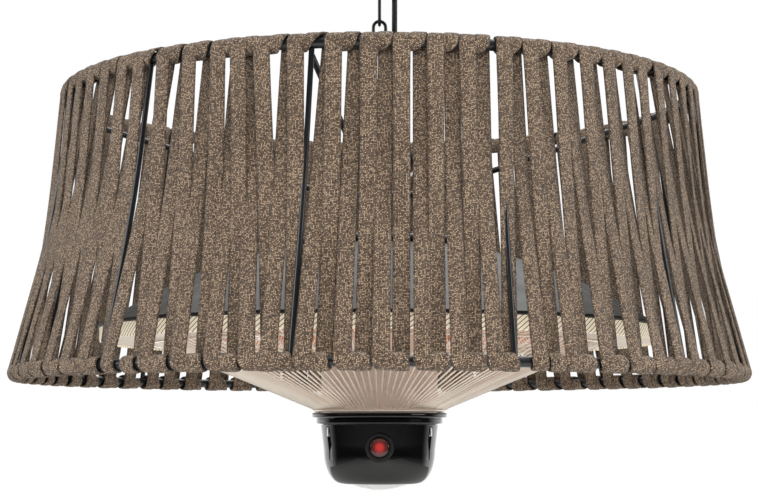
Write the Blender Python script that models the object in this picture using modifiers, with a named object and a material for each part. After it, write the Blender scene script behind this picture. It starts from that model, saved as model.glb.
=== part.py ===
"""Hanging patio heater: a domed halogen heater head inside a round shade wound with flat strap.

Metres, +Z up. Everything is placed from the lower edge of the shade, and one empty then lowers
the whole model, so that the world origin is the centre of the ceiling plate's upper face.
Azimuths run from the front (-Y) towards +X.
"""

import math

import bmesh
import bpy
from mathutils import Matrix, Vector

# Shade frame: two hoops, twelve ribs and a welded spider
RUNNING_GAP = 0.0003
WRAP_GAP = 0.0005
HOOP_TOP_RADIUS = 0.2556
HOOP_LOW_RADIUS = 0.2943
HOOP_TOP_WIRE = 0.0043
HOOP_LOW_WIRE = 0.0038
HOOP_SPACING = 0.2254
WAIST_RADIUS = 0.2699
WAIST_SHARE = 0.506
RIB_COUNT = 12
RIB_WIRE = 0.0025
RIB_FIRST_AZIMUTH = math.radians(-10.7)
FRAME_LEAN = math.radians(-1.1)

# Strap: twelve bays of six loops, each bay one unbroken strap. The shares place the upper and
# lower ends of each loop's two legs, counted across the bay from its rib.
STRAP_WIDTH = 0.0114
STRAP_THICKNESS = 0.0016
OUTER_TOP_SHARES = (0.130, 0.295, 0.460, 0.625, 0.790, 0.930)
OUTER_LOW_SHARES = (0.107, 0.280, 0.453, 0.617, 0.777, 0.937)
INNER_TOP_SHARES = (0.238, 0.402, 0.566, 0.728, 0.888, 1.090)
INNER_LOW_SHARES = (0.193, 0.368, 0.537, 0.700, 0.857, 1.022)
STRAP_WANDER = math.radians(0.3)
INNER_WANDER_STEP = math.radians(137.5)
OUTER_WANDER_STEP = math.radians(97.0)
WRAP_CORNERS = 4

# Spider: hub plate and four arms
ARM_COUNT = 4
HUB_RADIUS = 0.030
HUB_THICKNESS = 0.003
HUB_HEIGHT = 0.1500
ARM_WIRE = 0.0025
ARM_INNER_RADIUS = 0.0140
ARM_DROP = 0.0095
ARM_BEND_RADIUS = 0.036

# Heater head
RIM_RADIUS = 0.2275
RIM_TOP_HEIGHT = 0.0445
RIM_BAND_HEIGHT = 0.0130
RIM_BAND_THICKNESS = 0.0015
SEAL_HEIGHT = 0.0028
SEAL_OVERHANG = 0.0022
DOME_RISE = 0.0725
DOME_WALL = 0.0012
CAP_RADIUS = 0.0800
CAP_HEIGHT = 0.0072
CAP_EDGE = 0.0020
REFLECTOR_WALL = 0.0010
REFLECTOR_INSET = 0.0425
REFLECTOR_RISE_SHARE = 0.21
REFLECTOR_LIP = 0.0030
LAMP_OUTER_SHARE = 0.66
LAMP_INNER_SHARE = 0.46
LAMP_TUBE = 0.0055
LAMP_DROP = 0.0180
HOLDER_WIDTH = 0.0460
HOLDER_HEIGHT = 0.0240
HOLDER_MARGIN = 0.0100
CENTRE_TUBE_RADIUS = 0.0170
CENTRE_TUBE_WALL = 0.0015

# Wire guard
GUARD_WIRES = 72
GUARD_WIRE_WIDTH = 0.0015
GUARD_RING_WIDTH = 0.0032
GUARD_SHOULDER_INSET = 0.0410
GUARD_SHOULDER_DROP = 0.0015
GUARD_COVER_OVERLAP = 0.0055

# Control housing
COVER_RADIUS = 0.0555
COVER_TOP_HEIGHT = -0.0252
COVER_THICKNESS = 0.0040
STEP_RADIUS = 0.0520
STEP_HEIGHT = 0.0045
BODY_TOP_RADIUS = 0.0490
BODY_WAIST_RADIUS = 0.0458
BODY_WAIST_DEPTH = 0.0260
BODY_DEPTH = 0.0533
BODY_FLAT_RADIUS = 0.0310
GROOVE_WIDTH = 0.0055
GROOVE_DEPTH = 0.0040
GROOVE_LENGTH = 0.0320
GROOVE_AZIMUTH = math.radians(60)
CLIP_WIDTH = 0.0034
CLIP_LENGTH = 0.0080
CLIP_THICKNESS = 0.0030
BUTTON_HEIGHT = -0.0530
BUTTON_RADIUS = 0.0080
BUTTON_LENGTH = 0.0090
BUTTON_PROUD = 0.0024
BUTTON_DOME = 0.0020
BUTTON_TRAVEL = 0.0025
BEZEL_RADIUS = 0.0115
BEZEL_LENGTH = 0.0065
BEZEL_PROUD = 0.0008
LENS_RADIUS = 0.0245
LENS_DOME = 0.0052
LENS_SEAT = 0.0030
LED_BOARD_THICKNESS = 0.0016

# Suspension
STEM_RADIUS = 0.0100
STEM_BORE_DEPTH = 0.0120
BOLT_RADIUS = 0.0030
NUT_RADIUS = 0.0075
NUT_HEIGHT = 0.0050
EYE_WIRE = 0.0020
EYE_INNER_RADIUS = 0.0050
EYE_SHANK = 0.0022
LINK_COUNT = 6
LINK_WIRE = 0.0014
LINK_INNER_LENGTH = 0.0254
LINK_INNER_WIDTH = 0.0074
HOOK_WIRE = 0.0020
HOOK_INNER_RADIUS = 0.0050
HOOK_SHANK = 0.0050
HOOK_MOUTH_ANGLE = math.radians(35)
PLATE_RADIUS = 0.0420
PLATE_THICKNESS = 0.0080
PLATE_EDGE = 0.0030
CABLE_RADIUS = 0.0023
CABLE_OFFSET = 0.0128
CABLE_LOW_OFFSET = 0.0370
CABLE_DEPTH = 0.0050
GLAND_RADIUS = 0.0065
GLAND_HEIGHT = 0.0085
GLAND_NECK = 0.0045

# How finely round pieces are cut
LARGE_STEPS = 40
MEDIUM_STEPS = 32
SMALL_STEPS = 20
TINY_STEPS = 16
LAMP_POINTS = 23
CUT_OVERRUN = 0.0010
WELD = 0.00001

# Heights that follow from the sizes above
HOOP_LOW_HEIGHT = HOOP_LOW_WIRE + WRAP_GAP + STRAP_THICKNESS
HOOP_TOP_HEIGHT = HOOP_LOW_HEIGHT + HOOP_SPACING
WAIST_HEIGHT = HOOP_LOW_HEIGHT + HOOP_SPACING * WAIST_SHARE
DOME_RADIUS = (RIM_RADIUS**2 + DOME_RISE**2) / (2 * DOME_RISE)
DOME_CENTRE = RIM_TOP_HEIGHT + DOME_RISE - DOME_RADIUS
SEAT_RADIUS = CAP_RADIUS + CAP_EDGE
CAP_SEAT = DOME_CENTRE + math.sqrt(DOME_RADIUS**2 - SEAT_RADIUS**2)
CAP_TOP = CAP_SEAT + RUNNING_GAP + CAP_HEIGHT
RIM_OUTER_RADIUS = RIM_RADIUS + RIM_BAND_THICKNESS / 2
RIM_INNER_RADIUS = RIM_RADIUS - RIM_BAND_THICKNESS / 2
RIM_LOW_HEIGHT = RIM_TOP_HEIGHT - RIM_BAND_HEIGHT
REFLECTOR_RADIUS = RIM_INNER_RADIUS - RUNNING_GAP
REFLECTOR_PLATE_RADIUS = RIM_RADIUS - REFLECTOR_INSET
REFLECTOR_PLATE_HEIGHT = RIM_TOP_HEIGHT + DOME_RISE * REFLECTOR_RISE_SHARE
REFLECTOR_LIP_HEIGHT = RIM_LOW_HEIGHT + REFLECTOR_LIP
LAMP_OUTER_RADIUS = RIM_RADIUS * LAMP_OUTER_SHARE
LAMP_INNER_RADIUS = RIM_RADIUS * LAMP_INNER_SHARE
GUARD_OUTER_RADIUS = RIM_INNER_RADIUS * math.cos(math.pi / LARGE_STEPS) - RUNNING_GAP
GUARD_OUTER_HEIGHT = REFLECTOR_LIP_HEIGHT - RUNNING_GAP - GUARD_WIRE_WIDTH / 2
GUARD_SHOULDER_RADIUS = GUARD_OUTER_RADIUS - GUARD_SHOULDER_INSET
GUARD_SHOULDER_HEIGHT = GUARD_OUTER_HEIGHT - GUARD_SHOULDER_DROP
GUARD_INNER_RADIUS = COVER_RADIUS - GUARD_COVER_OVERLAP
GUARD_INNER_HEIGHT = COVER_TOP_HEIGHT + RUNNING_GAP + GUARD_WIRE_WIDTH / 2
BODY_TOP = COVER_TOP_HEIGHT - COVER_THICKNESS - RUNNING_GAP
BODY_BOTTOM = BODY_TOP - BODY_DEPTH
HUB_TOP = HUB_HEIGHT + HUB_THICKNESS
NUT_BOTTOM = HUB_TOP + RUNNING_GAP
NUT_TOP = NUT_BOTTOM + NUT_HEIGHT
EYE_RADIUS = EYE_INNER_RADIUS + EYE_WIRE
EYE_CENTRE = NUT_TOP + EYE_SHANK + EYE_WIRE + EYE_RADIUS
EYE_TOP = EYE_CENTRE + EYE_RADIUS
LINK_PITCH = LINK_INNER_LENGTH - RUNNING_GAP
LINK_END = LINK_INNER_LENGTH / 2 + LINK_WIRE
LAST_LINK_HEIGHT = EYE_TOP - EYE_WIRE - RUNNING_GAP + LINK_INNER_LENGTH / 2
FIRST_LINK_HEIGHT = LAST_LINK_HEIGHT + (LINK_COUNT - 1) * LINK_PITCH
HOOK_LOW = FIRST_LINK_HEIGHT + LINK_INNER_LENGTH / 2 - RUNNING_GAP - HOOK_WIRE
HOOK_RADIUS = HOOK_INNER_RADIUS + HOOK_WIRE
HOOK_CENTRE = HOOK_LOW + HOOK_RADIUS
HOOK_NECK_RADIUS = HOOK_RADIUS * math.sqrt(0.5) / (1 - math.sqrt(0.5))
HOOK_NECK_TOP = HOOK_CENTRE + (HOOK_RADIUS + HOOK_NECK_RADIUS) * math.sqrt(0.5)
PLATE_BOTTOM = HOOK_NECK_TOP + HOOK_SHANK
PLATE_TOP = PLATE_BOTTOM + PLATE_THICKNESS
BAY_ANGLE = math.tau / RIB_COUNT
LOOPS_PER_BAY = len(OUTER_TOP_SHARES)


def clear_scene():
    for old in list(bpy.data.objects):
        bpy.data.objects.remove(old, do_unlink=True)
    for group in list(bpy.data.collections):
        bpy.data.collections.remove(group)


def make_collection(name):
    group = bpy.data.collections.new(name)
    bpy.context.scene.collection.children.link(group)
    return group


def material(name, colour, roughness, metallic=0.0, alpha=1.0):
    made = bpy.data.materials.get(name)
    if made is None:
        made = bpy.data.materials.new(name)
        made.use_nodes = True
        shader = made.node_tree.nodes["Principled BSDF"]
        shader.inputs["Base Color"].default_value = (*colour, 1.0)
        shader.inputs["Roughness"].default_value = roughness
        shader.inputs["Metallic"].default_value = metallic
        shader.inputs["Alpha"].default_value = alpha
    return made


def strap_cloth():
    return material("strap_cloth", (0.15, 0.115, 0.085), 0.9)


def black_steel():
    return material("black_steel", (0.02, 0.02, 0.021), 0.35, 0.6)


def dome_paint():
    return material("dome_paint", (0.16, 0.175, 0.19), 0.35, 0.5)


def rim_steel():
    return material("rim_steel", (0.62, 0.62, 0.61), 0.3, 0.8)


def bright_steel():
    return material("bright_steel", (0.8, 0.79, 0.77), 0.12, 1.0)


def chrome_wire():
    return material("chrome_wire", (0.85, 0.84, 0.82), 0.1, 1.0)


def lamp_glass():
    return material("lamp_glass", (0.85, 0.32, 0.12), 0.08, 0.0, 0.8)


def ceramic():
    return material("ceramic", (0.78, 0.75, 0.69), 0.6)


def gloss_black():
    return material("gloss_black", (0.01, 0.01, 0.011), 0.08)


def soft_black():
    return material("soft_black", (0.015, 0.015, 0.016), 0.6)


def red_lens():
    return material("red_lens", (0.5, 0.02, 0.015), 0.15, 0.0, 0.9)


def white_lens():
    return material("white_lens", (0.86, 0.88, 0.9), 0.25, 0.0, 0.95)


def circuit_board():
    return material("circuit_board", (0.72, 0.73, 0.74), 0.4, 0.4)


def link_object(name, data, look):
    """A new object of the heater with its material, hung on the lowering empty."""
    made = bpy.data.objects.new(name, data)
    data.materials.append(look)
    HEATER.objects.link(made)
    made.parent = LOWERED
    return made


def mesh_object(name, bm, look, smooth_angle=math.radians(35)):
    mesh = bpy.data.meshes.new(name)
    bm.to_mesh(mesh)
    bm.free()
    mesh.shade_smooth()
    mesh.set_sharp_from_angle(angle=smooth_angle)
    return link_object(name, mesh, look)


def turned(name, profile, look, steps=LARGE_STEPS, closed=False):
    """Screws a profile of (radius, height) points round the Z axis.

    An open profile starts and ends on the axis; a closed one makes a ring. Either runs down
    its outer side.
    """
    bm = bmesh.new()
    points = [bm.verts.new((radius, 0.0, height)) for radius, height in profile]
    for first, second in zip(points, points[1:]):
        bm.edges.new((first, second))
    if closed:
        bm.edges.new((points[-1], points[0]))
    mesh = bpy.data.meshes.new(name)
    bm.to_mesh(mesh)
    bm.free()
    made = link_object(name, mesh, look)
    screw = made.modifiers.new("turn", "SCREW")
    screw.axis = "Z"
    screw.angle = math.tau
    screw.steps = steps
    screw.render_steps = steps
    screw.use_merge_vertices = True
    screw.merge_threshold = WELD
    screw.use_smooth_shade = True
    return made


def rod(name, points, radius, look, resolution=2, cyclic=False):
    """A round rod: a curve with a bevel, filled at its ends."""
    curve = bpy.data.curves.new(name, "CURVE")
    curve.dimensions = "3D"
    curve.bevel_depth = radius
    curve.bevel_resolution = resolution
    curve.use_fill_caps = not cyclic
    spline = curve.splines.new("POLY")
    spline.points.add(len(points) - 1)
    for place, point in zip(spline.points, points):
        place.co = (*point, 1.0)
    spline.use_cyclic_u = cyclic
    spline.use_smooth = True
    return link_object(name, curve, look)


def box_mesh(size, centre, turn=0.0):
    """A bmesh box of the given size, turned about Z through the axis of the heater."""
    bm = bmesh.new()
    bmesh.ops.create_cube(bm, size=1.0)
    bmesh.ops.scale(bm, vec=size, verts=bm.verts)
    bmesh.ops.translate(bm, vec=centre, verts=bm.verts)
    bmesh.ops.rotate(bm, cent=(0, 0, 0), matrix=Matrix.Rotation(turn, 3, "Z"), verts=bm.verts)
    return bm


def add_cutter(name, bm):
    mesh = bpy.data.meshes.new(name)
    bm.to_mesh(mesh)
    bm.free()
    cutter = bpy.data.objects.new(name, mesh)
    CUTTERS.objects.link(cutter)
    cutter.parent = LOWERED
    cutter.hide_render = True
    cutter.display_type = "WIRE"
    return cutter


def cut(target, cutter):
    boolean = target.modifiers.new(cutter.name, "BOOLEAN")
    boolean.operation = "DIFFERENCE"
    boolean.solver = "EXACT"
    boolean.object = cutter


def around(radius, azimuth, height):
    """The point at a radius, an azimuth from the front and a height."""
    return Vector((radius * math.sin(azimuth), -radius * math.cos(azimuth), height))


def sideways(azimuth):
    """The direction of growing azimuth."""
    return Vector((math.cos(azimuth), math.sin(azimuth), 0.0))


def lean_at(height):
    """How far the frame has turned at a height, measured from the upper hoop."""
    return FRAME_LEAN * (HOOP_TOP_HEIGHT - height) / HOOP_SPACING


def rib_azimuth(index):
    return RIB_FIRST_AZIMUTH + index * BAY_ANGLE


def frame_radius(height):
    """Radius of the surface through both hoops and the waist of the ribs."""
    if height > WAIST_HEIGHT:
        share = (height - WAIST_HEIGHT) / (HOOP_TOP_HEIGHT - WAIST_HEIGHT)
        return WAIST_RADIUS + (HOOP_TOP_RADIUS - WAIST_RADIUS) * share
    share = (height - HOOP_LOW_HEIGHT) / (WAIST_HEIGHT - HOOP_LOW_HEIGHT)
    return HOOP_LOW_RADIUS + (WAIST_RADIUS - HOOP_LOW_RADIUS) * share


def hoop(name, radius, height, wire):
    bpy.ops.mesh.primitive_torus_add(
        major_segments=RIB_COUNT * LOOPS_PER_BAY,
        minor_segments=6,
        major_radius=radius,
        minor_radius=wire,
        location=(0, 0, height),
        rotation=(0, 0, rib_azimuth(0)),
    )
    made = bpy.context.object
    made.name = name
    made.data.name = name
    made.data.materials.append(black_steel())
    made.data.shade_smooth()
    for group in list(made.users_collection):
        group.objects.unlink(made)
    HEATER.objects.link(made)
    made.parent = LOWERED
    return made


def make_hoops():
    hoop("shade_top_hoop", HOOP_TOP_RADIUS, HOOP_TOP_HEIGHT, HOOP_TOP_WIRE)
    hoop("shade_bottom_hoop", HOOP_LOW_RADIUS, HOOP_LOW_HEIGHT, HOOP_LOW_WIRE)


def make_ribs():
    top = HOOP_TOP_HEIGHT - HOOP_TOP_WIRE - RUNNING_GAP
    low = HOOP_LOW_HEIGHT + HOOP_LOW_WIRE + RUNNING_GAP
    for index in range(RIB_COUNT):
        points = [
            around(frame_radius(height), rib_azimuth(index) + lean_at(height), height)
            for height in (top, WAIST_HEIGHT, low)
        ]
        rod(f"rib_{index + 1:02d}", points, RIB_WIRE, black_steel())


def strap_stations(bay):
    """(radius, height, azimuth) of every corner along the strap of one bay."""
    lower_tilt = math.atan2(HOOP_LOW_RADIUS - WAIST_RADIUS, WAIST_HEIGHT - HOOP_LOW_HEIGHT)
    upper_tilt = math.atan2(WAIST_RADIUS - HOOP_TOP_RADIUS, HOOP_TOP_HEIGHT - WAIST_HEIGHT)
    half = STRAP_THICKNESS / 2
    corner = math.pi / (2 * WRAP_CORNERS)
    stations = []

    def wrap(radius, height, wire, start, first, last):
        reach = (wire + WRAP_GAP + half) / math.cos(corner)
        for step in range(WRAP_CORNERS):
            angle = start + corner * (2 * step + 1)
            azimuth = first + (last - first) * step / (WRAP_CORNERS - 1)
            place = height + reach * math.sin(angle)
            stations.append((radius + reach * math.cos(angle), place, azimuth))

    def waist(side, low, top):
        reach = side * (HOOP_TOP_WIRE + WRAP_GAP + half)
        stations.append((WAIST_RADIUS + reach, WAIST_HEIGHT, low + (top - low) * WAIST_SHARE))

    def inner_wander(turn):
        return STRAP_WANDER * math.sin(INNER_WANDER_STEP * turn)

    first_turn = bay * LOOPS_PER_BAY
    from_low = (INNER_LOW_SHARES[-1] - 1) * BAY_ANGLE + inner_wander(first_turn)
    for cell in range(LOOPS_PER_BAY):
        turn = first_turn + cell
        outer_wander = STRAP_WANDER / 2 * math.sin(OUTER_WANDER_STEP * turn)
        outer_low = OUTER_LOW_SHARES[cell] * BAY_ANGLE + outer_wander
        outer_top = OUTER_TOP_SHARES[cell] * BAY_ANGLE + outer_wander
        inner_top = INNER_TOP_SHARES[cell] * BAY_ANGLE + inner_wander(turn + 1)
        inner_low = INNER_LOW_SHARES[cell] * BAY_ANGLE + inner_wander(turn + 1)
        wrap(HOOP_LOW_RADIUS, HOOP_LOW_HEIGHT, HOOP_LOW_WIRE, math.pi + lower_tilt, from_low, outer_low)
        waist(1, outer_low, outer_top)
        wrap(HOOP_TOP_RADIUS, HOOP_TOP_HEIGHT, HOOP_TOP_WIRE, upper_tilt, outer_top, inner_top)
        waist(-1, inner_low, inner_top)
        from_low = inner_low
    end_height = HOOP_LOW_HEIGHT + STRAP_THICKNESS
    inside = HOOP_LOW_WIRE + WRAP_GAP + half
    stations.append((frame_radius(end_height) - inside, end_height, from_low))
    return stations


def make_straps():
    """Each bay's strap is a ribbon of square-cut stations, thickened to both sides."""
    least = math.inf
    for bay in range(RIB_COUNT):
        bm = bmesh.new()
        rows = []
        for radius, height, azimuth in strap_stations(bay):
            turn = rib_azimuth(bay) + azimuth
            centre = around(radius, turn, height)
            aside = sideways(turn) * STRAP_WIDTH / 2
            rows.append((bm.verts.new(centre - aside), bm.verts.new(centre + aside)))
        for (left, right), (next_left, next_right) in zip(rows, rows[1:]):
            bm.faces.new((left, right, next_right, next_left))
        least = min(least, least_strap_gap(rows))
        made = mesh_object(f"strap_bay_{bay + 1:02d}", bm, strap_cloth(), math.radians(50))
        shell = made.modifiers.new("thickness", "SOLIDIFY")
        shell.thickness = STRAP_THICKNESS
        shell.offset = 0.0
        shell.use_even_offset = True
    print(f"least gap between loops of one strap: {least * 1000:.2f} mm")


def least_strap_gap(rows):
    """Least gap, measured on points along the edges, between neighbouring loops of a strap."""
    per_loop = 2 * WRAP_CORNERS + 2
    shares = (0.0, 0.2, 0.4, 0.6, 0.8)
    rights = [[] for _ in range(len(rows) - 1)]
    lefts = [[] for _ in range(len(rows) - 1)]
    for index, (now, after) in enumerate(zip(rows, rows[1:])):
        for share in shares:
            lefts[index].append(now[0].co.lerp(after[0].co, share))
            rights[index].append(now[1].co.lerp(after[1].co, share))
    least = math.inf
    for index in range(len(rows) - 1 - per_loop):
        near = range(max(0, index + per_loop - 2), min(len(rows) - 1, index + per_loop + 3))
        for point in rights[index]:
            for other in near:
                least = min(least, *((point - place).length for place in lefts[other]))
    return least


def make_spider():
    """Hub plate and arms are welded together, so they are one body."""
    seat = HUB_TOP + ARM_WIRE
    weld = ARM_WIRE / 4
    arm_height = seat - weld
    top = HOOP_TOP_HEIGHT - ARM_DROP
    start = frame_radius(top) - RIB_WIRE - RUNNING_GAP
    plate = turned(
        "shade_spider",
        [
            (BOLT_RADIUS + RUNNING_GAP, HUB_TOP),
            (HUB_RADIUS, HUB_TOP),
            (HUB_RADIUS, HUB_HEIGHT),
            (BOLT_RADIUS + RUNNING_GAP, HUB_HEIGHT),
        ],
        black_steel(),
        MEDIUM_STEPS,
        closed=True,
    )
    for index in range(ARM_COUNT):
        azimuth = rib_azimuth(0) + lean_at(top) + index * math.tau / ARM_COUNT
        points = [
            around(start, azimuth, top),
            around(ARM_BEND_RADIUS, azimuth, arm_height),
            around(ARM_INNER_RADIUS, azimuth, arm_height),
        ]
        arm = rod(f"arm_curve_{index + 1}", points, ARM_WIRE, black_steel())
        joined = curve_to_mesh(arm, f"arm_{index + 1}")
        union = plate.modifiers.new(joined.name, "BOOLEAN")
        union.operation = "UNION"
        union.solver = "EXACT"
        union.object = joined
    plate.data.name = "shade_spider"


def curve_to_mesh(curve_object, name):
    """Turns a rod into a welded mesh among the cutters, where a Boolean can use it."""
    bpy.context.view_layer.update()
    graph = bpy.context.evaluated_depsgraph_get()
    mesh = bpy.data.meshes.new_from_object(curve_object.evaluated_get(graph))
    bm = bmesh.new()
    bm.from_mesh(mesh)
    bmesh.ops.remove_doubles(bm, verts=bm.verts, dist=WELD)
    bmesh.ops.recalc_face_normals(bm, faces=bm.faces)
    world = curve_object.matrix_world.copy()
    bpy.data.objects.remove(curve_object, do_unlink=True)
    bpy.data.meshes.remove(mesh)
    made = add_cutter(name, bm)
    made.matrix_world = world
    return made


def make_dome():
    """Spherical cap with a flat seat for the top cap and a turned-down edge."""
    arc_steps = 5
    inner_radius = DOME_RADIUS - DOME_WALL
    first = math.asin(SEAT_RADIUS / DOME_RADIUS)
    last = math.asin(RIM_RADIUS / DOME_RADIUS)
    angles = [first + (last - first) * step / arc_steps for step in range(arc_steps + 1)]
    hole = STEM_RADIUS
    outer = [(DOME_RADIUS * math.sin(a), DOME_CENTRE + DOME_RADIUS * math.cos(a)) for a in angles]
    inner = [(inner_radius * math.sin(a), DOME_CENTRE + inner_radius * math.cos(a)) for a in angles]
    seat = outer[0][1]
    profile = [(hole, seat)] + outer + inner[::-1] + [(hole, seat - DOME_WALL)]
    turned("dome_shell", profile, dome_paint(), closed=True)


def make_rim():
    """Bright band below the edge of the dome, with the dark seal that sits on it."""
    top = RIM_TOP_HEIGHT - DOME_WALL - RUNNING_GAP * 2
    profile = [
        (RIM_INNER_RADIUS, top),
        (RIM_OUTER_RADIUS, top),
        (RIM_OUTER_RADIUS, RIM_LOW_HEIGHT),
        (RIM_INNER_RADIUS, RIM_LOW_HEIGHT),
    ]
    turned("rim_band", profile, rim_steel(), closed=True)
    seal_outer = RIM_OUTER_RADIUS + SEAL_OVERHANG
    seal_inner = RIM_RADIUS + RUNNING_GAP
    seal_low = top + RUNNING_GAP
    seal_top = seal_low + SEAL_HEIGHT
    profile = [
        (seal_inner, seal_top),
        (seal_outer, seal_top),
        (seal_outer, seal_low),
        (seal_inner, seal_low),
    ]
    turned("rim_seal", profile, soft_black(), closed=True)


def make_cap():
    """Round junction cap on the dome, and the stem that carries the head."""
    low = CAP_SEAT + RUNNING_GAP
    profile = [
        (0, CAP_TOP),
        (CAP_RADIUS - CAP_EDGE * 2, CAP_TOP),
        (CAP_RADIUS - CAP_EDGE / 2, CAP_TOP - CAP_EDGE / 2),
        (CAP_RADIUS, CAP_TOP - CAP_EDGE * 2),
        (CAP_RADIUS, low),
        (0, low),
    ]
    turned("top_cap", profile, black_steel(), MEDIUM_STEPS)
    foot = CAP_TOP + RUNNING_GAP
    top = HUB_HEIGHT - RUNNING_GAP
    bore = BOLT_RADIUS + RUNNING_GAP
    foot_radius = STEM_RADIUS + CAP_EDGE * 2
    foot_top = foot + CAP_EDGE * 2
    profile = [
        (0, top - STEM_BORE_DEPTH),
        (bore, top - STEM_BORE_DEPTH),
        (bore, top),
        (STEM_RADIUS, top),
        (STEM_RADIUS, foot_top),
        (foot_radius, foot_top - CAP_EDGE),
        (foot_radius, foot),
        (0, foot),
    ]
    turned("stem", profile, black_steel(), TINY_STEPS)


def make_reflector():
    """Bright dish: a flat plate with a conical side and a lip on the rim band."""
    lip_top = REFLECTOR_LIP_HEIGHT + REFLECTOR_WALL
    hole = CENTRE_TUBE_RADIUS + RUNNING_GAP
    outer = [
        (hole, REFLECTOR_PLATE_HEIGHT),
        (REFLECTOR_PLATE_RADIUS, REFLECTOR_PLATE_HEIGHT),
        (REFLECTOR_RADIUS - REFLECTOR_LIP, lip_top),
        (REFLECTOR_RADIUS, lip_top),
    ]
    inner = [(radius - REFLECTOR_WALL / 4, height - REFLECTOR_WALL) for radius, height in outer[1:3]]
    lower = [(hole, outer[0][1] - REFLECTOR_WALL), *inner, (REFLECTOR_RADIUS, REFLECTOR_LIP_HEIGHT)]
    turned("reflector", outer + lower[::-1], bright_steel(), closed=True)


def lamp_arc(radius):
    """Centre line of a lamp from one side of the holder round to the other.

    Both ends run straight into the holder's sides.
    """
    height = REFLECTOR_PLATE_HEIGHT - REFLECTOR_WALL - LAMP_DROP
    side = HOLDER_WIDTH / 2 + RUNNING_GAP
    missing = math.asin((side + LAMP_TUBE) / radius)
    points = []
    for step in range(LAMP_POINTS):
        share = step / (LAMP_POINTS - 1)
        azimuth = math.pi + missing + share * (math.tau - 2 * missing)
        points.append(around(radius, azimuth, height))
    return [Vector((-side, points[0].y, height)), *points, Vector((side, points[-1].y, height))]


def make_lamps():
    """Two ring-shaped halogen tubes whose ends enter one ceramic holder at the back."""
    rod("lamp_outer", lamp_arc(LAMP_OUTER_RADIUS), LAMP_TUBE, lamp_glass(), resolution=1)
    rod("lamp_inner", lamp_arc(LAMP_INNER_RADIUS), LAMP_TUBE, lamp_glass(), resolution=1)
    top = REFLECTOR_PLATE_HEIGHT - REFLECTOR_WALL - RUNNING_GAP
    near = LAMP_INNER_RADIUS - LAMP_TUBE - HOLDER_MARGIN
    far = LAMP_OUTER_RADIUS + LAMP_TUBE + HOLDER_MARGIN
    size = (HOLDER_WIDTH, far - near, HOLDER_HEIGHT)
    bm = box_mesh(size, (0, (far + near) / 2, top - HOLDER_HEIGHT / 2))
    bmesh.ops.bevel(
        bm,
        geom=bm.edges[:],
        offset=HOLDER_MARGIN / 5,
        segments=1,
        affect="EDGES",
    )
    mesh_object("lamp_holder", bm, ceramic())


def make_guard():
    """One sector, a wire between two arcs of ring, is repeated round the axis and thickened."""
    slope_rows = [
        (GUARD_OUTER_RADIUS, GUARD_OUTER_HEIGHT),
        (GUARD_OUTER_RADIUS - GUARD_RING_WIDTH, GUARD_OUTER_HEIGHT),
        (GUARD_SHOULDER_RADIUS, GUARD_SHOULDER_HEIGHT),
        (GUARD_INNER_RADIUS + GUARD_RING_WIDTH, GUARD_INNER_HEIGHT),
        (GUARD_INNER_RADIUS, GUARD_INNER_HEIGHT),
    ]
    sector = math.tau / GUARD_WIRES
    half = GUARD_WIRE_WIDTH / 2
    bm = bmesh.new()
    rows = []
    for radius, height in slope_rows:
        edge = half / radius
        azimuths = (-edge, edge, sector - edge)
        rows.append([bm.verts.new(around(radius, azimuth, height)) for azimuth in azimuths])
    last = len(rows) - 2
    for index, (row, below) in enumerate(zip(rows, rows[1:])):
        columns = (0, 1) if index in (0, last) else (0,)
        for column in columns:
            bm.faces.new((row[column], below[column], below[column + 1], row[column + 1]))
    loose = [v for v in bm.verts if not v.link_faces]
    bmesh.ops.delete(bm, geom=loose, context="VERTS")
    bmesh.ops.spin(
        bm,
        geom=bm.verts[:] + bm.edges[:] + bm.faces[:],
        cent=(0, 0, 0),
        axis=(0, 0, 1),
        angle=math.tau - sector,
        steps=GUARD_WIRES - 1,
        use_duplicate=True,
    )
    bmesh.ops.remove_doubles(bm, verts=bm.verts, dist=WELD)
    bmesh.ops.recalc_face_normals(bm, faces=bm.faces)
    made = mesh_object("wire_guard", bm, chrome_wire())
    shell = made.modifiers.new("thickness", "SOLIDIFY")
    shell.thickness = GUARD_WIRE_WIDTH
    shell.offset = 0.0


def make_centre_tube():
    low = COVER_TOP_HEIGHT + RUNNING_GAP
    top = CAP_SEAT - DOME_WALL - RUNNING_GAP
    inner = CENTRE_TUBE_RADIUS - CENTRE_TUBE_WALL
    profile = [(inner, top), (CENTRE_TUBE_RADIUS, top), (CENTRE_TUBE_RADIUS, low), (inner, low)]
    turned("centre_tube", profile, bright_steel(), SMALL_STEPS, closed=True)


def housing_radius(depth):
    """Outer radius of the control housing at a depth below its top."""
    if depth < BODY_WAIST_DEPTH:
        share = depth / BODY_WAIST_DEPTH
        return BODY_TOP_RADIUS + (BODY_WAIST_RADIUS - BODY_TOP_RADIUS) * share
    share = min(1.0, (depth - BODY_WAIST_DEPTH) / (BODY_DEPTH - BODY_WAIST_DEPTH))
    bulge = 1 - math.sqrt(max(0.0, 1 - share**2))
    return BODY_WAIST_RADIUS - (BODY_WAIST_RADIUS - BODY_FLAT_RADIUS) * bulge


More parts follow.
